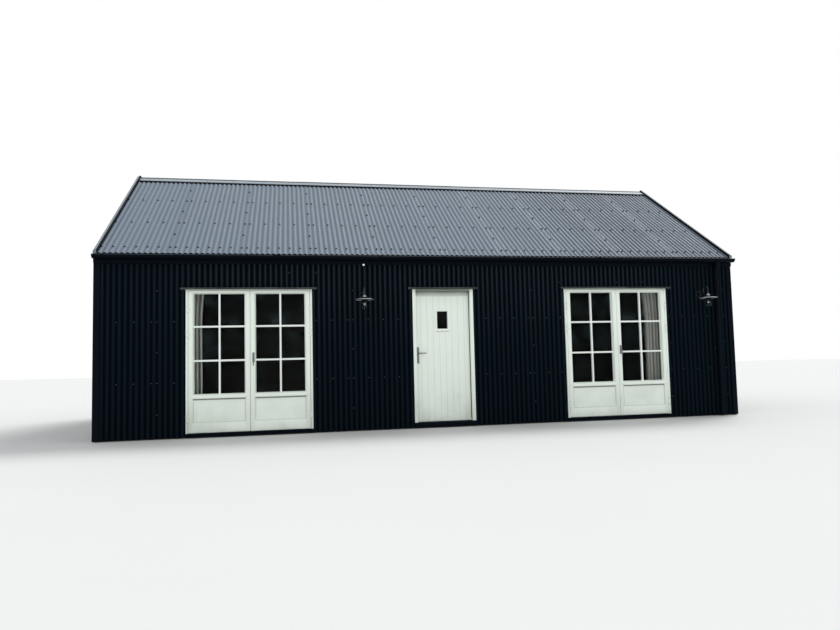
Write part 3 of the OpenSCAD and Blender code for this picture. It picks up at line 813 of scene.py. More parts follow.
def fastener_tree():
    """A washer and a hexagon head at each point, standing up along Z"""
    tree, make, given = new_tree("fastener_heads", {
        "Washer Radius": 0.0115, "Head Width": 0.0095, "Head Height": 0.0046, "Sink": 0.003, "Seed": 7,
        "Washer": None, "Head": None})

    def turned(sides, low_r, high_r, depth, base):
        cone = make.node("GeometryNodeMeshCone", {"fill_type": "NGON"}, {
            "Vertices": sides, "Radius Top": high_r, "Radius Bottom": low_r, "Depth": depth})
        return make.node("GeometryNodeTransform", None, {"Geometry": cone, "Translation": make.point(z=base)})

    def joined(*parts):
        whole = make.node("GeometryNodeJoinGeometry")
        for part in parts:
            make.tree.links.new(part.socket, whole.socket.node.inputs[0])
        return whole

    def coated(part, material):
        return make.node("GeometryNodeSetMaterial", None, {"Geometry": part, "Material": given[material]})

    washer = turned(12, given["Washer Radius"], given["Washer Radius"] * 0.62, given["Sink"] + 0.0018,
                    given["Sink"] * -1)
    flange = turned(12, given["Head Width"] * 0.82, given["Head Width"] * 0.70, 0.0012, 0.0017)
    hexagon = turned(6, given["Head Width"] * 0.56, given["Head Width"] * 0.50,
                     given["Head Height"], 0.0026)
    whole = joined(coated(washer, "Washer"), coated(joined(flange, hexagon), "Head"))
    # A sixth of a turn brings a hexagon back on itself
    spin = make.node("FunctionNodeRandomValue", {"data_type": "FLOAT"}, {
        2: 0.0, 3: 1.05, "Seed": given["Seed"]}, output=1)
    heads = make.node("GeometryNodeInstanceOnPoints", None, {
        "Points": given["Geometry"], "Instance": whole, "Rotation": make.point(z=spin)})
    close_tree(make, heads)
    return tree


def strap_tree():
    """Gutter straps: part of a ring of flat bar at each point, in the plane across X"""
    tree, make, given = new_tree("gutter_straps", {
        "Radius": 0.058, "Width": 0.025, "Thickness": 0.003, "Material": None})
    arc = make.node("GeometryNodeCurveArc", {"mode": "RADIUS"}, {
        "Resolution": 25, "Radius": given["Radius"], "Start Angle": -math.pi, "Sweep Angle": math.pi})
    bar = make.node("GeometryNodeCurvePrimitiveQuadrilateral", None, {
        "Width": given["Thickness"], "Height": given["Width"]})
    strap = make.node("GeometryNodeCurveToMesh", None, {
        "Curve": arc, "Profile Curve": bar, "Fill Caps": True})
    stand = make.node("GeometryNodeTransform", None, {
        "Geometry": strap, "Rotation": (math.pi / 2, 0.0, math.pi / 2)})
    straps = make.node("GeometryNodeInstanceOnPoints", None, {
        "Points": given["Geometry"], "Instance": stand})
    close_tree(make, straps, given["Material"])
    return tree


def grown(name, tree, values, points=()):
    """What a tree makes from some points, as a plain mesh"""
    seed = bpy.data.meshes.new(name + "_points")
    seed.from_pydata([tuple(p) for p in points], [], [])
    holder = bpy.data.objects.new(name + "_tree", seed)
    bpy.context.scene.collection.objects.link(holder)
    modifier = holder.modifiers.new("tree", "NODES")
    modifier.node_group = tree
    for item in tree.interface.items_tree:
        if item.item_type == "SOCKET" and item.in_out == "INPUT" and item.name in values:
            modifier[item.identifier] = values[item.name]
    depsgraph = bpy.context.evaluated_depsgraph_get()
    mesh = bpy.data.meshes.new_from_object(
        holder.evaluated_get(depsgraph), preserve_all_data_layers=True, depsgraph=depsgraph)
    holder.modifiers.remove(modifier)
    bpy.data.objects.remove(holder)
    bpy.data.meshes.remove(seed)
    return mesh


# ---- places

def plane_matrix(origin, x, y):
    """A matrix whose X and Y lie along two directions and whose Z stands off them"""
    x, y = Vector(x).normalized(), Vector(y).normalized()
    m = Matrix((x, y, x.cross(y))).transposed().to_4x4()
    m.translation = Vector(origin)
    return m


UP_SLOPE = Vector((0, math.cos(ROOF_PITCH), math.sin(ROOF_PITCH)))
HALF_TURN = Matrix.Rotation(math.pi, 4, "Z")
SIDES = (("front", Matrix.Identity(4)), ("back", HALF_TURN))
FRONT_SLOPE = plane_matrix((0, -EAVE_Y, EAVE_Z), (1, 0, 0), UP_SLOPE)
PLACES = {
    "front_roof": FRONT_SLOPE,
    "back_roof": HALF_TURN @ FRONT_SLOPE,
    "front_wall": plane_matrix((0, -CREST_Y, 0), (1, 0, 0), (0, 0, 1)),
    "back_wall": plane_matrix((0, CREST_Y, 0), (-1, 0, 0), (0, 0, 1)),
    "left_gable": plane_matrix((-HALF_LENGTH, 0, 0), (0, -1, 0), (0, 0, 1)),
    "right_gable": plane_matrix((HALF_LENGTH, 0, 0), (0, 1, 0), (0, 0, 1)),
}


def on_slope(y):
    """Height of the sheets' crests at a distance from the ridge, across the cabin"""
    return RIDGE_Z - abs(y) * math.tan(ROOF_PITCH)


def along_slope(up, lift):
    """Distance from the ridge and height of a point up the slope from the eaves and off the crests"""
    return (EAVE_Y - up * math.cos(ROOF_PITCH) + lift * math.sin(ROOF_PITCH),
            EAVE_Z + up * math.sin(ROOF_PITCH) + lift * math.cos(ROOF_PITCH))


def sheet_lift(p, x, crests):
    """How far a sheet lies off the crests at a distance x from a seam, which is less at the laps"""
    cover = crests * p.pitch
    seam = (x / cover - round(x / cover)) * cover / (p.pitch * 0.95)
    pressed = p.lap_flatness * math.exp(-seam * seam)
    return p.depth * 0.5 * ((1 - pressed) * math.cos(FULL_TURN * x / p.pitch) - 1)


def cut(bm, point, normal, away=True):
    """Cuts a mesh along a plane, and takes away the side that the normal points to"""
    bmesh.ops.bisect_plane(bm, geom=bm.verts[:] + bm.edges[:] + bm.faces[:], plane_co=point,
                           plane_no=normal, clear_outer=away, dist=1e-6)


def cut_out(bm, x0, x1, y0, y1):
    """Takes a rectangle out of a sheet that lies along X and Y"""
    for x in (x0, x1):
        cut(bm, (x, 0, 0), (1, 0, 0), away=False)
    for y in (y0, y1):
        cut(bm, (0, y, 0), (0, 1, 0), away=False)
    inside = [f for f in bm.faces
              if x0 < f.calc_center_median().x < x1 and y0 < f.calc_center_median().y < y1]
    bmesh.ops.delete(bm, geom=inside, context="FACES")


def corrugated(p, tree, name, place, low, high, start, crests, material, replaces,
               trims=(), holes=()):
    """Corrugated sheets over a rectangle of a wall or slope. low and high are its corners, start is
    the first seam's place along X, and crests is how many each sheet covers. trims are planes that
    cut the sheets and holes are rectangles that go out of them."""
    cover = crests * p.pitch
    sheets = math.ceil((high[0] - start) / cover) + 1
    mesh = grown(name, tree, {
        "Sheets": sheets, "Crests": crests, "Length": high[1] - low[1], "Pitch": p.pitch,
        "Depth": p.depth, "Lap": p.lap, "Lap Flatness": p.lap_flatness, "Lap Lift": p.steel * 1.3,
        "Steps": p.steps, "Rows": 5, "Material": FINISHES[material]})
    bm = bmesh.new()
    bm.from_mesh(mesh)
    bmesh.ops.translate(bm, verts=bm.verts, vec=(start + cover / 2, (low[1] + high[1]) / 2, 0))
    for point, normal in (((low[0], 0, 0), (-1, 0, 0)), ((high[0], 0, 0), (1, 0, 0)), *trims):
        cut(bm, point, normal)
    for hole in holes:
        cut_out(bm, *hole)
    bmesh.ops.transform(bm, matrix=PLACES[place], verts=bm.verts)
    bm.to_mesh(mesh)
    bm.free()
    piece = settle(name, mesh, "hut", replaces=replaces, smooth=60.0)
    # The cut edges are creases, so that the long faces beside them keep their shading
    bm = bmesh.new()
    bm.from_mesh(mesh)
    for edge in bm.edges:
        if edge.is_boundary:
            edge.smooth = False
    bm.to_mesh(mesh)
    bm.free()
    steel = piece.modifiers.new("steel", "SOLIDIFY")
    steel.thickness = p.steel
    steel.offset = -1.0
    return piece


def fastened(p, tree, name, place, points, washer, head, size=1.0, sink=0.003, tall=0.0046):
    """Fasteners at points of a wall or slope"""
    mesh = grown(name, tree, {
        "Washer Radius": p.washer * size, "Head Width": p.head * size, "Head Height": tall, "Sink": sink,
        "Washer": FINISHES[washer], "Head": FINISHES[head]}, points)
    mesh.transform(PLACES[place])
    return settle(name, mesh, "hut", smooth=35.0)


# ---- operators

class CABIN_OT_roof(bpy.types.Operator):
    """Lay the corrugated roof sheets with their fasteners"""

    bl_idname = "cabin.roof"
    bl_label = "Roof sheets"

    def execute(self, context):
        p = context.scene.cabin_sheets
        cover = p.crests * p.pitch
        sheets, fasteners = sheet_tree(), fastener_tree()
        edge = HALF_LENGTH - 0.002
        # Rows up the slope with the crests of each sheet that have a screw, and the laps' own screws
        eave_row = (0, 1, 3, 5, 7, 9, 11)
        purlin_row = (0, 1, 4, 7, 10)
        rows = [(0.184, eave_row), (1.11, purlin_row), (2.08, purlin_row)]
        stitches = (0.658, 1.595, 2.595)
        points = []
        first = -round(HALF_LENGTH / cover)
        for k in range(first, -first):
            points += [(k * cover + c * p.pitch, up, 0) for up, crests in rows for c in crests]
            points += [(k * cover, up, 0) for up in stitches]
        points = [q for q in points if abs(q[0]) < HALF_LENGTH - 0.07]
        for side in ("front", "back"):
            corrugated(p, sheets, f"{side}_roof_corrugated", f"{side}_roof", (-edge, 0.0),
                       (edge, SLOPE - 0.03), first * cover, p.crests, "roof_coat",
                       [f"{side}_roof_sheets"])
            fastened(p, fasteners, f"{side}_roof_fasteners", f"{side}_roof", points,
                     "washer_rubber", "washer_rubber", size=1.5, tall=0.0115)
        self.closers(p)
        return {"FINISHED"}

    def closers(self, p):
        """Foam that fills the corrugations over the walls and under the ridge cap"""
        closers = Workpiece()
        half = HALF_LENGTH - 0.020
        columns = round(2 * half / p.pitch * p.steps)
        wall_top = 2.596
        inner, outer = CREST_Y + 0.0005, CREST_Y + 0.0075
        for turn in (1, -1):
            rings = []
            for i in range(columns + 1):
                x = (2 * i / columns - 1) * half
                lift = (sheet_lift(p, x, p.crests) - 0.0018) / math.cos(ROOF_PITCH)
                rings.append([(x, -turn * y, z) for y, z in (
                    (outer, wall_top), (inner, wall_top),
                    (inner, on_slope(inner) + lift), (outer, on_slope(outer) + lift))])
            closers.loops(rings)
            # Under the ridge the black foam reaches 45 mm out from under the flange's edge, foam that also
            # stands in for the shadow the flange casts in the valleys
            foot, head = SLOPE - RIDGE_FLANGE - 0.045, SLOPE - 0.012
            outline = [(-turn * along_slope(up, lift)[0], along_slope(up, lift)[1])
                       for up, lift in ((foot, -0.0165), (foot, -0.0006), (head, -0.0006), (head, -0.0165))]
            closers.prism(outline, 0, -half + 0.040, half - 0.040)
        closers.finished("roof_profile_closers", "hut", ["profile_foam"], "roof_sheet")


class CABIN_OT_walls(bpy.types.Operator):
    """Clad the walls and gables with upright corrugated sheets and their fasteners"""

    bl_idname = "cabin.walls"
    bl_label = "Wall cladding"

    def execute(self, context):
        p = context.scene.cabin_sheets
        cover = p.wall_crests * p.pitch
        sheets, fasteners = sheet_tree(), fastener_tree()
        holes = []
        for node in ("left_glazed_frame", "front_door_frame", "right_glazed_frame"):
            low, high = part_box(node)
            holes.append((low.x, high.x, 0.0, high.z))
        first = WALL_SEAM - math.ceil((END_X + WALL_SEAM) / cover) * cover
        for wall, side, nodes, openings in (
                ("front", "front", ["front_cladding_piers", "front_cladding_head"], holes),
                ("rear", "back", ["back_cladding"], ())):
            corrugated(p, sheets, f"{wall}_cladding", f"{side}_wall", (-END_X, CLADDING_FOOT),
                       (END_X, CLADDING_TOP), first, p.wall_crests, f"{wall}_cladding_coat",
                       nodes, holes=openings)
        top = RIDGE_Z - 0.024
        slope_trims = [((0, top, 0), (s * math.sin(ROOF_PITCH), math.cos(ROOF_PITCH), 0)) for s in (-1, 1)]
        for side in ("left", "right"):
            corrugated(p, sheets, f"{side}_gable_corrugated", f"{side}_gable",
                       (-CREST_Y + 0.002, CLADDING_FOOT), (CREST_Y - 0.002, top), -3 * p.crests * p.pitch,
                       p.crests, "gable_cladding_coat", [f"{side}_gable_cladding"],
                       trims=slope_trims)
        # Heights of the rows of screws, and of the single screws at the seams between them
        rows, between = (0.78, 1.64), (0.34, 1.21, 2.08)

        def gable_points():
            """Screws in every third valley of a gable"""
            points = []
            for z in rows + (2.40, 3.2, 3.9):
                n = int(min(CREST_Y - 0.1, (RIDGE_Z - 0.25 - z) / math.tan(ROOF_PITCH)) / p.pitch)
                points += [((i + 0.5) * p.pitch, z, -p.depth) for i in range(-n, n) if i % 3 == 0]
            return points

        def wall_points(seams, steps, more=()):
            """Screws in the valleys of a long wall, which are numbered from its seam at WALL_SEAM.
            Each seam has two side by side, and one between the rows."""
            spots = {(seam + step, z) for seam in seams for step in steps for z in rows}
            spots |= {(seam, z) for seam in seams for z in between} | set(more)
            places = [((i + 0.5) * p.pitch, z) for i, z in sorted(spots)]
            points = [(WALL_SEAM + x, z, sheet_lift(p, x, p.wall_crests)) for x, z in places]
            return [q for q in points if abs(q[0]) < HALF_LENGTH - 0.1]

        def clear(point):
            """Whether a point is beside or over the doorways"""
            return all(not (h[0] - 0.03 < point[0] < h[1] + 0.03 and point[1] < h[3] + 0.06) for h in holes)

        front = wall_points((-37, -1, 36, 67, 80), (-10, -7, -4, -1, 0, 3, 6, 9),
                            ((-13, 2.34), (-8, 2.34), (42, 2.20), (55, 2.20), (61, 2.20)))
        front = [q for q in front if clear(q)]
        back = wall_points([12 * k - 1 for k in range(-4, 8)], (-1, 0, 3, 6, 9))
        for name, place, points in (("front_wall_fasteners", "front_wall", front),
                                    ("rear_wall_fasteners", "back_wall", back),
                                    ("left_gable_fasteners", "left_gable", gable_points()),
                                    ("right_gable_fasteners", "right_gable", gable_points())):
            fastened(p, fasteners, name, place, points, "black_trim_coat",
                     "screw_coat", 0.8, 0.001)
        repaint("black_trim_coat", "corner_flashings")
        return {"FINISHED"}


class CABIN_OT_ridge(bpy.types.Operator):
    """Fold the ridge cap and close the verges"""

    bl_idname = "cabin.ridge"
    bl_label = "Ridge and verges"

    def execute(self, context):
        low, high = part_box("ridge_cap")
        roll = 0.0105
        steel = 0.0014
        lap, lap_lift = 0.075, 0.0017
        # The flange from its edge up: distance down from the ridge, and height off the crests
        flange = ((RIDGE_FLANGE + 0.0008, 0.0050), (RIDGE_FLANGE, 0.0100), (0.12, 0.0085),
                  (0.06, 0.0058), (0.034, 0.0044), (0.016, 0.0030))

        def section(lift):
            """The outline of the cap across X"""
            half = []
            for down, off in flange:
                y, z = along_slope(SLOPE - down, lift + off)
                half.append((-y, z))
            arc = [(math.cos(a) * roll, RIDGE_Z + lift + 0.0015 + math.sin(a) * roll)
                   for a in (math.radians(205 - 230 * i / 8) for i in range(9))]
            return shell(half + arc + [(-y, z) for y, z in half[::-1]], steel)

        cap = Workpiece()
        joints = [low.x, -2.065, 0.79, 3.64, high.x]
        for i, (a, b) in enumerate(zip(joints, joints[1:])):
            # Every second length lies over its neighbours
            over, lift = (lap, lap_lift) if i % 2 else (0.0, 0.0)
            cap.prism(section(0.0004 + lift), 0, max(low.x, a - over), min(high.x, b + over))
        # The roll and the top of the flange take the darker roll coat: painted shade on the roll and a
        # painted shadow that it casts on the flange
        for face in cap.bm.faces:
            if face.calc_center_median().z > RIDGE_Z - 0.016:
                face.material_index = 1
        cap.finished("ridge_cap_folded", "hut", ["flashing_coat", "roll_coat"], "roof_sheet",
                     ["ridge_cap"], 50)
        p = context.scene.cabin_sheets
        cover = p.crests * p.pitch
        up, off = SLOPE - RIDGE_FLANGE * 0.62, 0.0110
        points = [(k * cover + c * p.pitch, up, off) for k in range(-5, 5) for c in (3, 9)]
        points = [q for q in points if abs(q[0]) < high.x - 0.05]
        fasteners = fastener_tree()
        for side in ("front", "back"):
            fastened(p, fasteners, f"{side}_ridge_fasteners", f"{side}_roof", points,
                     "flashing_coat", "flashing_coat", sink=0.0)
        for side, s in (("left", -1), ("right", 1)):
            self.verge(side, s)
        return {"FINISHED"}

    def verge(self, side, s):
        """A folded cap that rolls over from the roof to the gable, with a dark board inside it whose black
        also stands in for the shade on the cap's inner side
        """
        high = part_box("verge_caps")[1]
        outer = high.x
        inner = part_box("ridge_cap")[1].x
        rise = (high.z - RIDGE_Z) * math.cos(ROOF_PITCH)
        drop = 0.130
        end = EAVE_Y - 0.001

        def sweep(work, outline, y):
            """Draws an outline of (x, lift) up one slope and down the other"""
            work.loops([[(s * x, at, on_slope(at) + lift / math.cos(ROOF_PITCH)) for x, lift in outline]
                        for at in (-y, 0, y)])

        wide = outer - inner
        lip = inner + 0.010
        face, crown = outer - 0.0002, rise - 0.033
        top = [(lip, 0.0006), (lip, rise - 0.006), (lip + 0.002, rise - 0.002), (lip + 0.005, rise),
               (inner + 0.40 * wide, rise - 0.003), (inner + 0.64 * wide, rise - 0.009),
               (inner + 0.84 * wide, rise - 0.018), (outer - 0.003, rise - 0.028), (face, crown)]
        cap = Workpiece()
        sweep(cap, shell(top, -0.0014), end)
        wall = HALF_LENGTH + 0.0012
        sweep(cap, [(wall, -drop), (face, -drop), (face, crown), (wall, crown)], CREST_Y + 0.024)
        # The board's black also stands in for the shade inside the cap
        board = Workpiece()
        board_x = (inner - 0.012, lip - 0.0003)
        sweep(board, [(board_x[0], 0.0006), (board_x[1], 0.0006), (board_x[1], rise - 0.001),
                      (board_x[0], rise - 0.001)], end - 0.001)
        # Plugs close the cap's ends at the eaves
        plug = [(min(x - 0.001, HALF_LENGTH - 0.001), lift - 0.003) for x, lift in top[:0:-1]]
        for at in (-end + 0.002, end - 0.008):
            base = on_slope(at)
            shape = [(s * (lip + 0.002), base - 0.020), (s * (HALF_LENGTH - 0.001), base - 0.020)]
            shape += [(s * x, base + lift / math.cos(ROOF_PITCH)) for x, lift in plug]
            cap.prism(shape, 1, at, at + 0.006)
        cap.finished(f"{side}_verge_cap_folded", "hut", ["verge_coat"], "pale_flashing",
                     ["verge_caps"] if side == "left" else (), 30)
        board.finished(f"{side}_verge_board", "hut", ["black_trim_coat"], "black_trim")


class CABIN_OT_rainwater(bpy.types.Operator):
    """Hang the gutters with their straps, unions and outlets, and paint the downpipes"""

    bl_idname = "cabin.rainwater"
    bl_label = "Gutters and downpipes"

    def execute(self, context):
        low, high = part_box("front_gutter")
        radius = 0.056
        centre = low.y + 0.003 + radius
        rim = high.z
        half = high.x
        for side, turn in SIDES:
            gutter = self.gutter(centre, rim, radius, half)
            gutter.moved(turn)
            gutter.finished(f"{side}_gutter_run", "hut", ["black_trim_coat", "trim_edge_coat"], "black_trim",
                            [f"{side}_gutter"])
            places = [((i / 10 - 0.5) * (2 * half - 0.3), centre, rim - 0.004) for i in range(11)]
            straps = grown(f"{side}_gutter_straps", strap_tree(), {
                "Radius": radius + 0.0012, "Width": 0.025, "Thickness": 0.003,
                "Material": FINISHES["black_trim_coat"]}, places)
            straps.transform(turn)
            settle(f"{side}_gutter_straps", straps, "hut")
        for side, turn in SIDES:
            pipe = self.downpipe(centre, rim - radius)
            pipe.moved(turn)
            pipe.finished(f"{side}_downpipe", "hut", ["black_trim_coat", "satin_steel"], "black_trim",
                          ["downpipes"] if side == "front" else ())
        repaint("black_trim_coat", "fascias", "door_thresholds")
        repaint("door_drip_coat", "door_head_flashings")
        self.sensor()
        return {"FINISHED"}

    def gutter(self, centre, rim, radius, half):
        """A half-round trough with its rolled edge, end caps, unions and outlet"""
        wall = 0.0022

        def arc(r, z):
            """The half circle from the front to the back"""
            return [(centre + r * math.cos(a), z + r * math.sin(a))
                    for a in (math.pi + math.pi * i / 20 for i in range(21))]

        def trough(r):
            """Half-round section with a folded back edge"""
            back = [(centre + r, rim), (centre + r - wall, rim)]
            return arc(r, rim - 0.004) + back + arc(r - wall, rim - 0.004)[::-1]

        def bead(r):
            """The rolled front edge"""
            return [(centre - r + 0.0050 + 0.0058 * math.cos(a), rim - 0.0058 + 0.0058 * math.sin(a))
                    for a in round_angles(12)]

        gutter = Workpiece()
        gutter.prism(trough(radius), 0, -half + 0.001, half - 0.001)
        # The rolled bead takes the paler coat: a painted highlight along the rim
        gutter.prism(bead(radius), 0, -half + 0.0015, half - 0.0015, 1)
        for s in (-1, 1):
            gutter.prism(arc(radius + 0.001, rim - 0.002), 0, s * half, s * (half - 0.003))
        for x in (-2.47, 2.53):
            gutter.prism(trough(radius + 0.0022), 0, x - 0.045, x + 0.045)
            gutter.prism(bead(radius + 0.0015), 0, x - 0.045, x + 0.045)
        bottom = rim - radius - 0.004
        gutter.lathe([(0.041, bottom - 0.050), (0.043, bottom - 0.046), (0.043, bottom + 0.004),
                      (0.048, bottom + 0.010), (0.036, bottom + 0.010), (0.036, bottom - 0.050)],
                     (DOWNPIPE_X, centre, 0), sides=28)
        return gutter

    def downpipe(self, centre, head):
        """A pipe with an offset under the gutter, sockets and wall clips"""
        work = Workpiece()
        x, r = DOWNPIPE_X, 0.034
        foot, bore, sides = 0.012, r - 0.003, 28
        wall_y = -CREST_Y - 0.020 - r
        corners = [(centre, head - 0.001), (centre, 2.470), (wall_y, 2.390), (wall_y, foot)]
        bend = 0.030
        path = [corners[0]]
        for a, b, c in zip(corners, corners[1:], corners[2:]):
            a, b, c = Vector(a), Vector(b), Vector(c)
            start, end = b + (a - b).normalized() * bend, b + (c - b).normalized() * bend
            for i in range(7):
                t = i / 6
                path.append(tuple(start.lerp(b, t).lerp(b.lerp(end, t), t)))
        path.append(corners[-1])
        rings = []
        for i, (y, z) in enumerate(path):
            a, b = path[max(i - 1, 0)], path[min(i + 1, len(path) - 1)]
            run = math.dist(a, b)
            across = Vector((0, (b[1] - a[1]) / run, -(b[0] - a[0]) / run))
            rings.append([Vector((x + r * math.cos(t), y, z)) + across * r * math.sin(t)
                          for t in round_angles(sides)])
        # The open foot shows the bore
        for z in (foot, 0.080):
            rings.append([Vector((x + bore * math.cos(t), wall_y - bore * math.sin(t), z))
                          for t in round_angles(sides)])
        work.loops(rings)

        def band(half, edge, middle, place):
            """A ring round the pipe. edge and middle are how far it stands out there."""
            work.lathe([(r - 0.002, -half), (r + edge, -half), (r + middle, 0.002 - half),
                        (r + middle, half - 0.002), (r + edge, half), (r - 0.002, half)],
                       place, sides=sides)

        for (y, z), lean in ((corners[1], 0.034), (corners[2], -0.034)):
            band(0.008, 0.003, 0.0035, (x, y, z + lean))
        for z in PIPE_CLIPS:
            for s in (-1, 1):
                band(0.007, 0.0042, 0.005, (x, wall_y, z + s * 0.028))
            work.lathe([(r - 0.002, -0.022), (r + 0.002, -0.022), (r + 0.002, 0.022), (r - 0.002, 0.022)],
                       (x, wall_y, z), sides=sides)
            work.block((x - 0.018, wall_y + r - 0.004, z - 0.020), (x + 0.018, -CREST_Y + 0.002, z + 0.020),
                       0.002)
            for s in (-1, 1):
                ear = x + s * (r + 0.010)
                work.block((ear - 0.010, -CREST_Y - 0.006, z - 0.014),
                           (ear + 0.010, -CREST_Y + 0.001, z + 0.014), 0.002)
                work.lathe([(0, -0.001), (0.005, -0.001), (0.005, 0.001), (0.003, 0.0026), (0, 0.0028)],
                           (ear, -CREST_Y - 0.006, z), (0, -1, 0), 10, 1)
        return work

    def sensor(self):
        """The small light sensor under the eaves, with its pale dome"""
        low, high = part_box("eaves_sensor")
        x, wall = (low.x + high.x) / 2, high.y
        eye = (x, low.y + 0.025, low.z + 0.025)
        r = 0.0205
        body = Workpiece()
        body.block((x - 0.024, wall - 0.034, 2.440), (x + 0.024, wall, 2.480), 0.006, 0, 3)
        sphere = [(r * math.sin(math.pi * i / 16), -r * math.cos(math.pi * i / 16)) for i in range(17)]
        sphere[0], sphere[-1] = (0, -r), (0, r)
        body.lathe(sphere, eye, (0, -0.5, -1), 24, 1)
        body.lathe([(0.0175, 0.001), (0.0245, 0.001), (0.0245, 0.012), (0.0155, 0.018)],
                   eye, (0, 0.5, 1), 24, 0)
        body.finished("eaves_sensor_housing", "hut", ["black_trim_coat", "bulb_glass"], "black_trim",
                      ["eaves_sensor"])


def front_door_faces():
    """The front door's boarded faces, which lie inside the window's beads"""
    low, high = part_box("front_door_leaf")
    return low.y + 0.010, high.y - 0.008


def frame_section(work, low, high, jamb, stop, depth, arris):
    """Two jambs and a head between two corners, each a board with a stop behind the door. depth is
    how far back the stops start."""
    inner, tuck = jamb + stop, 0.002
    for a, b in ((low.x, low.x + jamb), (high.x - jamb, high.x)):
        work.block((a, low.y, low.z), (b, high.y, high.z - jamb), arris)
    work.block((low.x, low.y, high.z - jamb), high, arris)
    for a, b, foot in ((low.x + jamb - tuck, low.x + inner, low.z),
                       (high.x - inner, high.x - jamb + tuck, low.z),
                       (low.x + inner, high.x - inner, high.z - inner)):
        work.block((a, low.y + depth, foot), (b, high.y, high.z - jamb + tuck), arris)


class CABIN_OT_frames(bpy.types.Operator):
    """Build the three door frames and the front door's seals"""

    bl_idname = "cabin.frames"
    bl_label = "Door frames"

    def execute(self, context):
        p = context.scene.cabin_joinery
        for side in ("left", "right"):
            low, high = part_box(f"{side}_glazed_frame")
            work = Workpiece()
            frame_section(work, low, high, 0.030, 0.017, 0.072, p.arris)
            work.finished(f"{side}_glazed_frame_boards", "hut", ["joinery_paint"], "white_joinery",
                          [f"{side}_glazed_frame"])
        low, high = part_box("front_door_frame")
        work = Workpiece()
        jamb, rebate = 0.048, 0.031
        seat = front_door_faces()[0] - 0.006
        steps = ((low.y, seat, jamb), (seat, high.y, rebate))
        for s in (-1, 1):
            edge = s * high.x
            for front, back, width in steps:
                a, b = sorted((edge, edge - s * width))
                work.block((a, front, low.z), (b, back, high.z), p.arris)
        # The head boards take the paint with the painted shadow under the flashing
        for front, back, width in steps:
            work.block((low.x + 0.047, front + 0.0005, high.z - width), (high.x - 0.047, back, high.z),
                       p.arris, 1)
        work.finished("front_door_frame_boards", "hut", ["joinery_paint", "sheltered_paint"], "white_joinery",
                      ["front_door_frame"])
        # Black rubber seals round the leaf, which also stand in for the shade in the gap beside it
        seals = Workpiece()
        inner, top = high.x - jamb, high.z - jamb
        for s in (-1, 1):
            a, b = sorted((s * (inner + 0.003), s * (inner - 0.0075)))
            seals.block((a, seat - 0.009, low.z + 0.031), (b, seat + 0.0045, top + 0.003), 0.003)
        seals.block((-inner, seat - 0.009, top - 0.0015), (inner, seat + 0.0045, top + 0.006), 0.0012)
        seals.finished("front_door_seals", "hut", ["washer_rubber"], "black_trim")
        repaint("satin_steel", "curtain_rails")
        return {"FINISHED"}


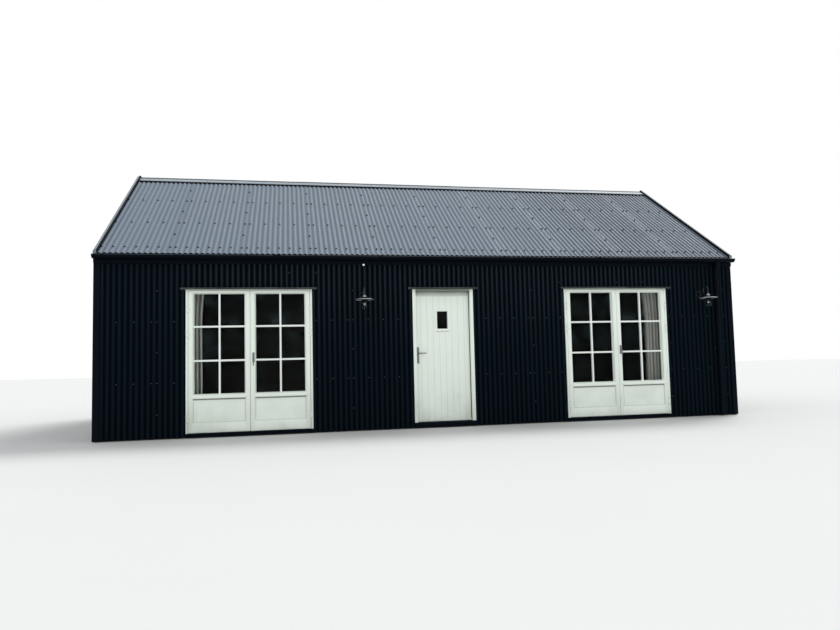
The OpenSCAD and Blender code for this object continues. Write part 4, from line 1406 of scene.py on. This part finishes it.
class CABIN_OT_glazed_doors(bpy.types.Operator):
    """Build the four glazed doors: stiles, rails, panels, beads and bars"""

    bl_idname = "cabin.glazed_doors"
    bl_label = "Glazed doors"

    def execute(self, context):
        p = context.scene.cabin_joinery
        for pair in ("left", "right"):
            for hand in ("left", "right"):
                name = f"{pair}_pair_{hand}"
                self.leaf(p, name, -1 if hand == "left" else 1)
                repaint("pane_glass", f"{name}_glass")
        return {"FINISHED"}

    def leaf(self, p, name, s):
        """One door. s is 1 where its hinges are at its right."""
        low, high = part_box(f"{name}_leaf")
        glass_low, glass_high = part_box(f"{name}_glass")
        face, back = FRAME_FACE, high.y
        x0, x1, foot, head = low.x, high.x, low.z, high.z
        inner0, inner1 = x0 + p.stile, x1 - p.stile
        rail_foot, rail_head = glass_low.z - p.bead, glass_high.z + p.bead
        work = Workpiece()
        for s0, s1 in ((x0, inner0), (inner1, x1)):
            work.block((s0, face, foot), (s1, back, head), p.arris)
        # A lip on the meeting stile narrows the gap between the two doors
        meet = x0 if s > 0 else x1
        lip = sorted((meet - s * 0.0023, meet + s * 0.004))
        work.block((lip[0], face + 0.0005, foot + 0.001), (lip[1], face + 0.013, head - 0.001), 0.001)
        for z0, z1 in ((foot, PANEL_FOOT), (PANEL_TOP, rail_foot), (rail_head, head)):
            work.block((inner0 - 0.001, face + 0.0004, z0), (inner1 + 0.001, back - 0.0004, z1), p.arris)
        recess = 0.012
        self.panel(work, inner0, inner1, face, back, recess)
        work.mitred(inner0, inner1, rail_foot, rail_head, [
            (-0.002, face + 0.003), (0.001, face + 0.003), (0.003, face + 0.010), (0.008, face + 0.028),
            (p.bead + 0.002, glass_low.y), (-0.002, glass_low.y)])
        work.mitred(inner0, inner1, rail_foot, rail_head, [
            (-0.002, glass_high.y), (p.bead + 0.002, glass_high.y), (p.bead - 0.002, back - 0.003),
            (0.002, back - 0.0015), (-0.002, back - 0.0015)])
        self.bars(work, glass_low, glass_high, p.bar, face + 0.028, back - 0.004)

        # The weather moulding throws water off the panel
        tip = low.y
        work.prism([(face + 0.002, rail_foot), (face - 0.004, rail_foot), (tip + 0.002, rail_foot - 0.012),
                    (tip, rail_foot - 0.016), (tip, PANEL_TOP + 0.006), (tip + 0.003, PANEL_TOP),
                    (tip + 0.006, PANEL_TOP), (tip + 0.007, PANEL_TOP + 0.005),
                    (face - 0.003, PANEL_TOP + 0.006), (face + 0.002, PANEL_TOP + 0.004)],
                   0, inner0 - 0.008, inner1 + 0.008)
        # A strip of dark paint in the corner under it: a painted shadow
        work.block((inner0 + 0.001, face + 0.0045, PANEL_TOP - 0.020),
                   (inner1 - 0.001, face + recess + 0.001, PANEL_TOP + 0.003), 0.001, 3)
        work.finished(f"{name}_joinery", f"{name}_door",
                      ["joinery_paint", "bar_paint", "moulding_paint", "damp_paint"],
                      "white_joinery", [f"{name}_leaf"])

    def panel(self, work, x0, x1, face, back, recess):
        """The panel lies back from both faces in a bevelled bead"""
        work.block((x0 - 0.004, face + recess, PANEL_FOOT - 0.004),
                   (x1 + 0.004, back - recess, PANEL_TOP + 0.004))
        # The beads round the panel take the darker moulding paint: painted shade in the recess
        for y0, y1, d in ((face, face + recess, 1), (back, back - recess, -1)):
            work.mitred(x0, x1, PANEL_FOOT, PANEL_TOP, [
                (-0.001, y0 + d * 0.003), (0.002, y0 + d * 0.003), (0.007, y0 + d * 0.006),
                (0.014, y1 - d * 0.001), (0.014, y1 + d * 0.002), (-0.001, y1 + d * 0.002)], 2)

    def bars(self, work, low, high, width, outer, inner):
        """Glazing bars on both sides of the glass between low and high, narrower at their faces"""
        half, nose = width / 2, width / 2 - 0.004
        rows, columns = 3, 2
        pane_w = (high.x - low.x - (columns - 1) * width) / columns
        pane_h = (high.z - low.z - (rows - 1) * width) / rows

        def outline(c, less=0.0):
            """less keeps the cross bars' faces out of the plane of the upright's"""
            return [(c - nose, outer + less), (c + nose, outer + less), (c + half, low.y - 0.004),
                    (c + half, high.y + 0.003), (c + nose, inner - less), (c - nose, inner - less),
                    (c - half, high.y + 0.003), (c - half, low.y - 0.004)]

        for i in range(1, columns):
            c = low.x + i * pane_w + (i - 0.5) * width
            work.prism(outline(c), 2, low.z - 0.008, high.z + 0.008, 1)
        for i in range(1, rows):
            c = low.z + i * pane_h + (i - 0.5) * width
            work.prism([(y, z) for z, y in outline(c, 0.0005)], 0, low.x - 0.008, high.x + 0.008, 1)


class CABIN_OT_front_door(bpy.types.Operator):
    """Build the boarded front door with its small window"""

    bl_idname = "cabin.front_door"
    bl_label = "Front door"

    def execute(self, context):
        p = context.scene.cabin_joinery
        low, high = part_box("front_door_leaf")
        glass_low, glass_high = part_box("front_door_glass")
        face, back = front_door_faces()
        x0, x1, foot, head = low.x, high.x, low.z, high.z
        rail = head - 0.089
        skin = 0.014
        gx, gz0, gz1 = glass_high.x, glass_low.z, glass_high.z
        work = Workpiece()
        # Core boards leave a hole for the window, and stop short of the leaf's edges
        short = 0.001
        for a, b, c, d in ((x0 + short, -gx, foot + short, head - short),
                           (gx, x1 - short, foot + short, head - short),
                           (-gx, gx, foot + short, gz0), (-gx, gx, gz1, head - short)):
            work.block((a, face + skin - 0.002, c), (b, back - skin + 0.002, d))
        # Grooved boards on both faces, in one skin with its hole cut
        for y, inward in ((face, 1), (back, -1)):
            self.boards(work, p, x0, x1, foot, rail, y, inward * skin, gx, gz0, gz1)
            a, b = sorted((y, y + inward * skin))
            # The top rail takes the paint with the painted shadow under the flashing
            work.block((x0, a, rail + 0.0015), (x1, b, head), p.arris, 2)
        window_z = (gz0 + gz1) / 2
        wx, wz0, wz1 = 0.1045, window_z - 0.160, window_z + 0.160
        for y0, y1, d in ((low.y, face + skin, 1), (high.y, back - skin, -1)):
            work.mitred(-wx, wx, wz0, wz1, [
                (0.0, y0 + d * 0.003), (0.003, y0), (0.015, y0), (0.020, y0 + d * 0.004),
                (wx - gx + 0.001, y0 + d * 0.010), (wx - gx + 0.001, y1), (0.0, y1)], 1)
        # A sill under the window, and under it a strip of darker paint on the boards: a painted shadow
        work.block((-wx - 0.003, low.y + 0.0005, wz0 - 0.006), (wx + 0.003, face + 0.002, wz0 + 0.001),
                   0.001, 1)
        work.block((-wx + 0.001, face - 0.0006, wz0 - 0.024), (wx - 0.001, face + 0.002, wz0 - 0.005), 0, 3)
        work.finished("front_door_boards", "front_door",
                      ["boarded_paint", "bar_paint", "sheltered_paint", "moulding_paint"],
                      "white_joinery", ["front_door_leaf"])
        repaint("pane_glass", "front_door_glass")
        return {"FINISHED"}

    def boards(self, work, p, x0, x1, z0, z1, y, depth, gx, gz0, gz1):
        """Upright boards with V grooves, round the window's hole. depth is how far the skin goes behind
        the face y."""
        inward = 1 if depth > 0 else -1
        width = (x1 - x0) / p.boards
        line = [(x0, y + inward * p.groove)]
        for i in range(p.boards):
            a, b = x0 + i * width, x0 + (i + 1) * width
            line += [(a + p.groove, y), (b - p.groove, y), (b, y + inward * p.groove)]
        pieces = [(x0, x1, z0, gz0), (x0, x1, gz1, z1), (x0, -gx, gz0, gz1), (gx, x1, gz0, gz1)]
        for a, b, c, d in pieces:
            start = line[0] if a == x0 else (a, y)
            end = line[-1] if b == x1 else (b, y)
            part = [start] + [q for q in line if a < q[0] < b] + [end]
            work.prism(part + [(b, y + depth), (a, y + depth)], 2, c, d)


class CABIN_OT_hardware(bpy.types.Operator):
    """Fit the hinges, plates and levers"""

    bl_idname = "cabin.hardware"
    bl_label = "Door furniture"

    def execute(self, context):
        paint = ["joinery_paint", "satin_steel"]
        frames = Workpiece()
        out = 0.046
        for pair in ("left", "right"):
            low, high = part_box(f"{pair}_glazed_frame")
            middle = (low.x + high.x) / 2
            lever = middle + 0.0445
            leaf_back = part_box(f"{pair}_pair_right_leaf")[1].y
            for hand, s in (("left", -1), ("right", 1)):
                leaf = Workpiece()
                self.hinges(leaf, frames, (middle + s * 0.850, FRAME_FACE - 0.008), s, 1, GLAZED_HINGES)
                if hand == "right":
                    for y, d in ((FRAME_FACE, -1), (leaf_back, 1)):
                        self.plate(leaf, lever, 0.030, 1.046, 1.186, y, d)
                leaf.finished(f"{pair}_pair_{hand}_hardware", f"{pair}_pair_{hand}_door", paint, "door_steel",
                              [f"{pair}_pair_{hand}_furniture"])
            handle = Workpiece()
            self.lever(handle, lever, FRAME_FACE, leaf_back, out, (0, -1))
            handle.finished(f"{pair}_pair_lever_handle", f"{pair}_pair_handle", paint, "door_steel",
                            [f"{pair}_pair_lever"])
        face, back = front_door_faces()
        lever = -0.391
        leaf = Workpiece()
        self.hinges(leaf, frames, (0.4385, back + 0.008), 1, -1, FRONT_HINGES)
        for y, d in ((face, -1), (back, 1)):
            self.plate(leaf, lever, 0.035, 0.970, 1.215, y, d)
        leaf.finished("front_door_hardware", "front_door", paint, "door_steel", ["front_door_furniture"])
        frames.finished("frame_hinge_leaves", "hut", paint, "door_steel", ["frame_hinges"])
        handle = Workpiece()
        self.lever(handle, lever, face, back, out, (1, 0))
        handle.finished("front_door_lever_handle", "front_door_handle", paint, "door_steel",
                        ["front_door_lever"])
        return {"FINISHED"}

    def hinges(self, leaf, frames, pin, side, face, heights):
        """Hinges of three knuckles. The middle one is the leaf's, and the frame lies towards side."""
        for z in heights:
            self.knuckle(leaf, pin, -side, face, z)
            for step in (-1, 1):
                self.knuckle(frames, pin, side, face, z + step * 0.033, step)

    def knuckle(self, work, pin, side, face, z, step=0):
        """One knuckle with its flag, screwed on beside it. face is 1 where the flag lies on the +Y side,
        and step is 1 or -1 where a finial closes the hinge's upper or lower end."""
        x, y = pin
        r, half = 0.007, 0.016
        work.lathe([(0, -half), (r - 0.001, -half), (r, -half + 0.001), (r, half - 0.001), (r - 0.001, half),
                    (0, half)], (x, y, z), sides=20)
        if step:
            tip = half if step > 0 else -half - 0.005
            work.lathe([(0, tip - 0.001), (0.0045, tip - 0.001), (0.0055, tip + 0.0012),
                        (0.0055, tip + 0.0038), (0.0040, tip + 0.0052), (0, tip + 0.0056)],
                       (x, y, z), sides=16, material=1)
        ys = sorted((y + face * 0.008, y + face * 0.006))
        xs = sorted((x, x + side * 0.026))
        work.block((xs[0], ys[0], z - half), (xs[1], ys[1], z + half), 0.0007, 0, 1)
        for dz in (-0.008, 0.008):
            work.lathe([(0, -0.0006), (0.0032, -0.0006), (0.0032, 0.0002), (0.0016, 0.0007), (0, 0.0008)],
                       (x + side * 0.018, y + face * 0.006, z + dz), (0, -face, 0), 10, 1)

    def plate(self, work, x, width, z0, z1, y, d):
        """A rounded plate on the face at y, with its screws and a key cylinder. d is the way out of
        the face."""
        half, corner = width / 2, min(0.009, width / 2 - 0.001)

        def ring(inset, out):
            points = []
            right, left, top, foot = x + half - corner, x - half + corner, z1 - corner, z0 + corner
            for cx, cz, start in ((right, top, 0), (left, top, 90), (left, foot, 180), (right, foot, 270)):
                for i in range(5):
                    a = math.radians(start + 90 * i / 4)
                    points.append((cx + (corner - inset) * math.cos(a), y + d * out,
                                   cz + (corner - inset) * math.sin(a)))
            return points

        edge = ((0, -0.0005), (0, 0.0050), (0.0006, 0.0060), (0.0020, 0.0066))
        work.loops([ring(inset, out) for inset, out in edge], 1)
        for z in (z0 + 0.011, z1 - 0.011):
            work.lathe([(0, -0.001), (0.0042, -0.001), (0.0042, 0.0003), (0.0022, 0.0010), (0, 0.0011)],
                       (x, y + d * 0.0062, z), (0, d, 0), 14, 1)
        key = LEVER_Z - (0.062 if z1 - z0 > 0.2 else 0.047)
        work.lathe([(0, -0.001), (0.0084, -0.001), (0.0084, 0.0002), (0.0076, 0.0007), (0, 0.0007)],
                   (x, y + d * 0.0064, key), (0, d, 0), 20, 1)
        slot = sorted((y + d * 0.0060, y + d * 0.0074))
        work.block((x - 0.0008, slot[0], key - 0.0045), (x + 0.0008, slot[1], key + 0.0045), 0, 0)

    def lever(self, work, x, y0, y1, out, heading):
        """A handle on both faces on one spindle. heading is the way the handles point, in X and Z."""
        z = LEVER_Z
        dx, dz = heading
        work.rod(y0 - out + 0.004, y1 + out - 0.004, 0.0045, (x, 0, z), (0, 1, 0), 12, 1)
        bend = 0.013
        for face, d in ((y0, -1), (y1, 1)):
            end = face + d * out
            work.lathe([(0.004, 0.0078), (0.0112, 0.0078), (0.0116, 0.0088), (0.0112, 0.0112),
                        (0.0090, 0.0124), (0.004, 0.0124)], (x, face, z), (0, d, 0), 24, 1)
            path = [(0, face + d * 0.010), (0, end - d * bend)]
            for i in range(1, 8):
                a = math.radians(90 * i / 8)
                path.append((bend * (1 - math.cos(a)), end - d * bend * (1 - math.sin(a))))
            path += [(bend, end), (0.045, end), (0.080, end), (0.106, end), (0.1185, end)]
            radii = [0.0088] * (len(path) - 4) + [0.0082, 0.0078, 0.0076, 0.0070]
            work.tube([(x + dx * t, y, z + dz * t) for t, y in path], radii, 18, 1)


class CABIN_OT_lamps(bpy.types.Operator):
    """Turn the two swan-neck wall lamps"""

    bl_idname = "cabin.lamps"
    bl_label = "Wall lamps"

    def execute(self, context):
        lamps, jars = Workpiece(), Workpiece()
        wall, reach = -CREST_Y, 0.250
        for x in LAMP_PLACES:
            hub = (x, wall - reach, LAMP_SHADE_Z)
            self.arm(lamps, x, wall, LAMP_SHADE_Z + 0.090, reach)
            self.shade(lamps, hub)
            self.jar(lamps, jars, hub)
        lamps.finished("wall_lamp_metalwork", "hut",
                       ["lamp_zinc", "bulb_glass", "black_trim_coat", "arm_zinc"], "lamp_metal",
                       ["wall_lamps"])
        jars.finished("wall_lamp_jars", "hut", ["jar_glass"], "lamp_glass", ["lamp_globes"])
        return {"FINISHED"}

    def arm(self, lamps, x, wall, rose_z, reach):
        """A rose on the wall and a tube that rises from it and curls over to the shade"""
        out = (0, -1, 0)
        lamps.lathe([(0.043, -0.001), (0.050, -0.001), (0.050, 0.004), (0.048, 0.0065), (0.0455, 0.0070),
                     (0.043, 0.0055)], (x, wall, rose_z), out, 32, 3)
        lamps.lathe([(0, -0.001), (0.044, -0.001), (0.044, 0.005), (0.026, 0.009), (0.014, 0.014),
                     (0, 0.014)], (x, wall, rose_z), out, 32, 2)
        for a in (90, 210, 330):
            screw = (x + 0.036 * math.cos(math.radians(a)), wall - 0.0085,
                     rose_z + 0.036 * math.sin(math.radians(a)))
            lamps.lathe([(0, -0.002), (0.0045, -0.002), (0.0045, 0.001), (0.002, 0.0028), (0, 0.0028)],
                        screw, out, 10, 3)
        # The path is (height, distance from the wall)
        up, over = 0.045, 0.062
        rise = reach - 2 * over
        path = [(0, 0.002), (0, 0.03), (0, rise - up)]
        for i in range(1, 9):
            a = math.radians(90 * i / 8)
            path.append((up - up * math.cos(a), rise - up + up * math.sin(a)))
        crown = up + 0.002
        for i in range(1, 17):
            a = math.radians(180 * i / 16)
            path.append((crown + over * math.sin(a), rise + over - over * math.cos(a)))
        path += [(0.03, reach), (-0.014, reach)]
        lamps.tube([(x, wall - away, rose_z + high) for high, away in path], 0.0078, 16, 3)

    def shade(self, lamps, hub):
        """A cap and a flat round shade, with black under it and on the jar's collar as painted shade"""
        r = 0.1375
        lamps.lathe([(0, 0.0405), (0.030, 0.041), (0.033, 0.043), (0.032, 0.048), (0.024, 0.060),
                     (0.020, 0.066), (0.018, 0.072), (0.012, 0.077), (0, 0.078)], hub, sides=40)
        lamps.rod(0.020, 0.042, 0.028, hub, sides=40, material=2)
        lamps.lathe([(0, 0.0225), (0.034, 0.0225), (r - 0.010, 0.0135), (r - 0.004, 0.0125),
                     (r - 0.001, 0.0100), (r, 0.0060), (r, 0.0012), (r - 0.0012, 0.0000),
                     (r - 0.0028, 0.0010), (r - 0.003, 0.0085), (r - 0.010, 0.0110), (0.036, 0.0190),
                     (0, 0.0190)], hub, sides=48)
        # The jar's collar is black: painted shade under the shade
        lamps.lathe([(0, 0.0205), (0.040, 0.0205), (0.040, -0.020), (0.0425, -0.022), (0.0425, -0.026),
                     (0.036, -0.027), (0.020, -0.026), (0, -0.026)], hub, sides=40, material=2)
        # The underside of the shade is black: painted shade
        lamps.lathe([(0.0405, 0.0195), (0.0405, 0.0184), (r - 0.010, 0.0104), (r - 0.0034, 0.0079),
                     (r - 0.0034, 0.0090), (r - 0.010, 0.0115)], hub, sides=48, material=2)

    def jar(self, lamps, jars, hub):
        """A bulb in its holder, and the glass jar round it with a domed foot"""
        lamps.rod(-0.024, -0.044, 0.013, hub, sides=24, material=2)
        lamps.lathe([(0, -0.042), (0.009, -0.042), (0.0125, -0.052), (0.0150, -0.062), (0.0140, -0.072),
                     (0.0085, -0.080), (0, -0.082)], hub, sides=24, material=1)
        r, glass, foot = 0.043, 0.003, -0.112
        angles = [math.radians(a) for a in (15, 30, 45, 60, 75)]

        def dome(r):
            return [(r * math.cos(a), foot - r * math.sin(a)) for a in angles]

        outer = [(0.038, -0.0265), (0.0395, -0.045), (r, -0.065), (r, foot)] + dome(r) + [(0.0, foot - r)]
        r = r - glass
        inner = [(0.0, foot - r)] + dome(r)[::-1]
        inner += [(r, foot), (r, -0.065), (0.0365, -0.045), (0.035, -0.0265)]
        jars.lathe(outer + inner, hub, sides=40)


class CABIN_OT_curtains(bpy.types.Operator):
    """Hang the gathered curtains behind the end panes"""

    bl_idname = "cabin.curtains"
    bl_label = "Curtains"

    def execute(self, context):
        for side, folds, full in (("left", 5, 0.70), ("right", 6, 0.84)):
            self.curtain(side, folds, full)
        return {"FINISHED"}

    def curtain(self, side, folds, full):
        """A gathered cloth with its rings. full is the width of the flat cloth."""
        low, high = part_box(f"{side}_curtain")
        mid = (low.y + high.y) / 2
        top, foot = high.z - 0.004, low.z + 0.004
        width = high.x - low.x - 0.012
        reach = 0.0385
        columns, rows = folds * 18, 60
        phase = 0.7 if side == "left" else 2.1

        def line(t, v, size):
            """Fold line at height v, 0 at the top: x and y at t along the cloth"""
            drift = 0.30 * math.sin(2.1 * v + phase) + 0.16 * math.sin(5.3 * v + phase * 2)
            a = FULL_TURN * folds * t
            wave = (math.sin(a + drift) + 0.30 * math.sin(a * 0.5 + 1.3 + drift * 2)
                    + 0.14 * math.sin(a * 2 + phase + v * 2))
            lean = 0.16 * width / folds * math.sin(2 * a + 0.6 + drift)
            # The cloth hangs a little narrower than its rail, drawn to its outer edge
            wide = width * (1 - 0.16 * math.sin(min(v * 3, 1) * math.pi / 2) * (1 - 0.3 * v))
            fixed = t if side == "left" else t - 1
            start = low.x + 0.006 + (0 if side == "left" else width)
            return start + wide * fixed + lean * (4 * t * (1 - t)), size * wave

        def span(v, size):
            """The length of a fold line"""
            points = [line(i / columns, v, size) for i in range(columns + 1)]
            return sum(math.dist(a, b) for a, b in zip(points, points[1:]))

        def fold_size(v):
            """The depth of the folds that takes up the cloth's flat width, by halving"""
            small, large = 0.0, 0.08
            for _ in range(30):
                size = (small + large) / 2
                if span(v, size) < full:
                    small = size
                else:
                    large = size
            return size

        verts = []
        for j in range(rows + 1):
            v = j / rows
            size = fold_size(v)
            for i in range(columns + 1):
                x, y = line(i / columns, v, size)
                verts.append((x, mid + max(-reach, min(reach, y)), top + (foot - top) * v))
        mesh = bpy.data.meshes.new(f"{side}_curtain_cloth")
        n = columns + 1
        faces = [(j * n + i, (j + 1) * n + i, (j + 1) * n + i + 1, j * n + i + 1)
                 for j in range(rows) for i in range(columns)]
        mesh.from_pydata(verts, [], faces)
        layer = mesh.uv_layers.new(name="cloth")
        for loop in mesh.loops:
            j, i = divmod(loop.vertex_index, n)
            layer.data[loop.index].uv = (full * i / columns, (top - foot) * (1 - j / rows))
        cloth = settle(f"{side}_curtain_cloth", mesh, "hut", ["curtain_weave"],
                       [f"{side}_curtain"], 180)
        thick = cloth.modifiers.new("cloth", "SOLIDIFY")
        thick.thickness = 0.0012
        thick.offset = 0.0
        rings = Workpiece()
        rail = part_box("curtain_rails")[0].z + 0.009
        wire, loop = 0.0013, 0.0115
        for k in range(folds + 1):
            x = low.x + 0.012 + (width - 0.012) * k / folds
            rings.loops([[(x + wire * math.cos(b), mid + (loop + wire * math.sin(b)) * math.cos(a),
                           rail - 0.001 + (loop + wire * math.sin(b)) * math.sin(a))
                          for b in round_angles(8)] for a in round_angles(24)], closed=True)
        ringed = rings.finished(f"{side}_curtain_rings", "hut", ["satin_steel"], "door_steel")


class CABIN_OT_shell(bpy.types.Operator):
    """Finish the timber shell inside the cladding"""

    bl_idname = "cabin.shell"
    bl_label = "Timber shell"

    def execute(self, context):
        repaint("wall_boards", "front_wall_piers", "front_wall_head", "back_wall", "left_gable_wall",
                "right_gable_wall")
        repaint("rafter_boards", "front_roof_deck", "back_roof_deck")
        repaint("floor_boards", "floor_slab")
        return {"FINISHED"}


class CABIN_OT_stage(bpy.types.Operator):
    """Set the camera, the pale floor and the soft light"""

    bl_idname = "cabin.stage"
    bl_label = "Stage"

    def execute(self, context):
        scene = context.scene
        p = scene.cabin_stage
        scene.view_settings.view_transform = "Standard"
        self.camera(scene, p)
        self.ground(scene, p)
        self.sky(scene, p)
        return {"FINISHED"}

    def camera(self, scene, p):
        """The photo's camera, fitted to the cabin: its turn about Z, its tilt up and its roll"""
        yaw, pitch, roll = 0.1954, 0.0682, -0.0234
        ahead = Vector((math.sin(yaw) * math.cos(pitch), math.cos(yaw) * math.cos(pitch), math.sin(pitch)))
        level = Vector((math.cos(yaw), -math.sin(yaw), 0))
        up = level.cross(ahead)
        right = level * math.cos(roll) + up * math.sin(roll)
        above = up * math.cos(roll) - level * math.sin(roll)
        stand = Matrix((right, above, -ahead)).transposed().to_4x4()
        stand.translation = (-2.295, -12.376, 1.020)
        lens = bpy.data.cameras.new("camera")
        lens.lens = p.lens
        lens.sensor_width = 36
        lens.clip_end = 200
        camera = bpy.data.objects.new("camera", lens)
        camera.matrix_world = stand
        scene.collection.objects.link(camera)
        scene.camera = camera

    def ground(self, scene, p):
        """A wide pale floor"""
        mesh = bpy.data.meshes.new("ground")
        reach = 60
        mesh.from_pydata([(-reach, -reach, 0), (reach, -reach, 0), (reach, reach, 0), (-reach, reach, 0)],
                         [], [(0, 1, 2, 3)])
        ground = bpy.data.objects.new("ground", mesh)
        scene.collection.objects.link(ground)

        def pale(make):
            place = make.place()
            cloud = make.noise(place, 0.35, 3.0)
            grit = make.noise(place, 30.0, 3.0)
            return {"Base Color": make.shade(tuple(p.ground), toned(p.ground, 0.96), cloud),
                    "Roughness": 0.85 + grit * 0.1, "Normal": make.bump(grit, 0.0005, 0.2)}

        mesh.materials.append(finish("pale_ground", pale, **{"Specular IOR Level": 0.1}))

    def sky(self, scene, p):
        """Soft light from all round, white in mirrors, and a key light from the left"""
        world = bpy.data.worlds.new("sky")
        scene.world = world
        world.use_nodes = True
        world.node_tree.nodes.clear()
        make = Maker(world.node_tree)
        path = make.node("ShaderNodeLightPath")
        seen = path.most(path.other("Is Glossy Ray")).most(path.other("Is Transmission Ray"))
        lit = make.node("ShaderNodeBackground", None, {"Color": (0.95, 0.98, 1.0, 1), "Strength": p.sky})
        white = make.node("ShaderNodeBackground", None, {"Color": (1, 1, 1, 1), "Strength": 1.0})
        both = make.node("ShaderNodeMixShader", None, {0: seen, 1: lit, 2: white})
        make.node("ShaderNodeOutputWorld", None, {"Surface": both})

        light = bpy.data.lights.new("key", "SUN")
        light.energy = p.sun
        light.angle = math.radians(25)
        key = bpy.data.objects.new("key", light)
        key.rotation_euler = Vector((-0.55, -0.42, -1.0)).to_track_quat("-Z", "Y").to_euler()
        scene.collection.objects.link(key)


OPERATORS = [
    CABIN_OT_stage, CABIN_OT_shell, CABIN_OT_roof, CABIN_OT_walls, CABIN_OT_ridge, CABIN_OT_rainwater,
    CABIN_OT_frames, CABIN_OT_glazed_doors, CABIN_OT_front_door, CABIN_OT_hardware, CABIN_OT_lamps,
    CABIN_OT_curtains,
]


class CABIN_PT_panel(bpy.types.Panel):
    """Sizes, colours and steps of the cabin"""

    bl_idname = "CABIN_PT_panel"
    bl_label = "Corrugated cabin"
    bl_space_type = "VIEW_3D"
    bl_region_type = "UI"
    bl_category = "Cabin"

    def draw(self, context):
        for name, group in GROUPS.items():
            box = self.layout.box()
            box.label(text=group.__doc__)
            holder = getattr(context.scene, name)
            for key in group.__annotations__:
                box.prop(holder, key)
        for operator in OPERATORS:
            self.layout.operator(operator.bl_idname)


CLASSES = [*GROUPS.values(), *OPERATORS, CABIN_PT_panel]


def register():
    for cls in CLASSES:
        bpy.utils.register_class(cls)
    for name, group in GROUPS.items():
        setattr(bpy.types.Scene, name, bpy.props.PointerProperty(type=group))


def unregister():
    for name in GROUPS:
        delattr(bpy.types.Scene, name)
    for cls in reversed(CLASSES):
        bpy.utils.unregister_class(cls)


def main():
    register()
    make_finishes(bpy.context)
    for operator in OPERATORS:
        group, step = operator.bl_idname.split(".")
        getattr(getattr(bpy.ops, group), step)()
    bpy.context.view_layer.update()


if __name__ == "__main__":
    main()
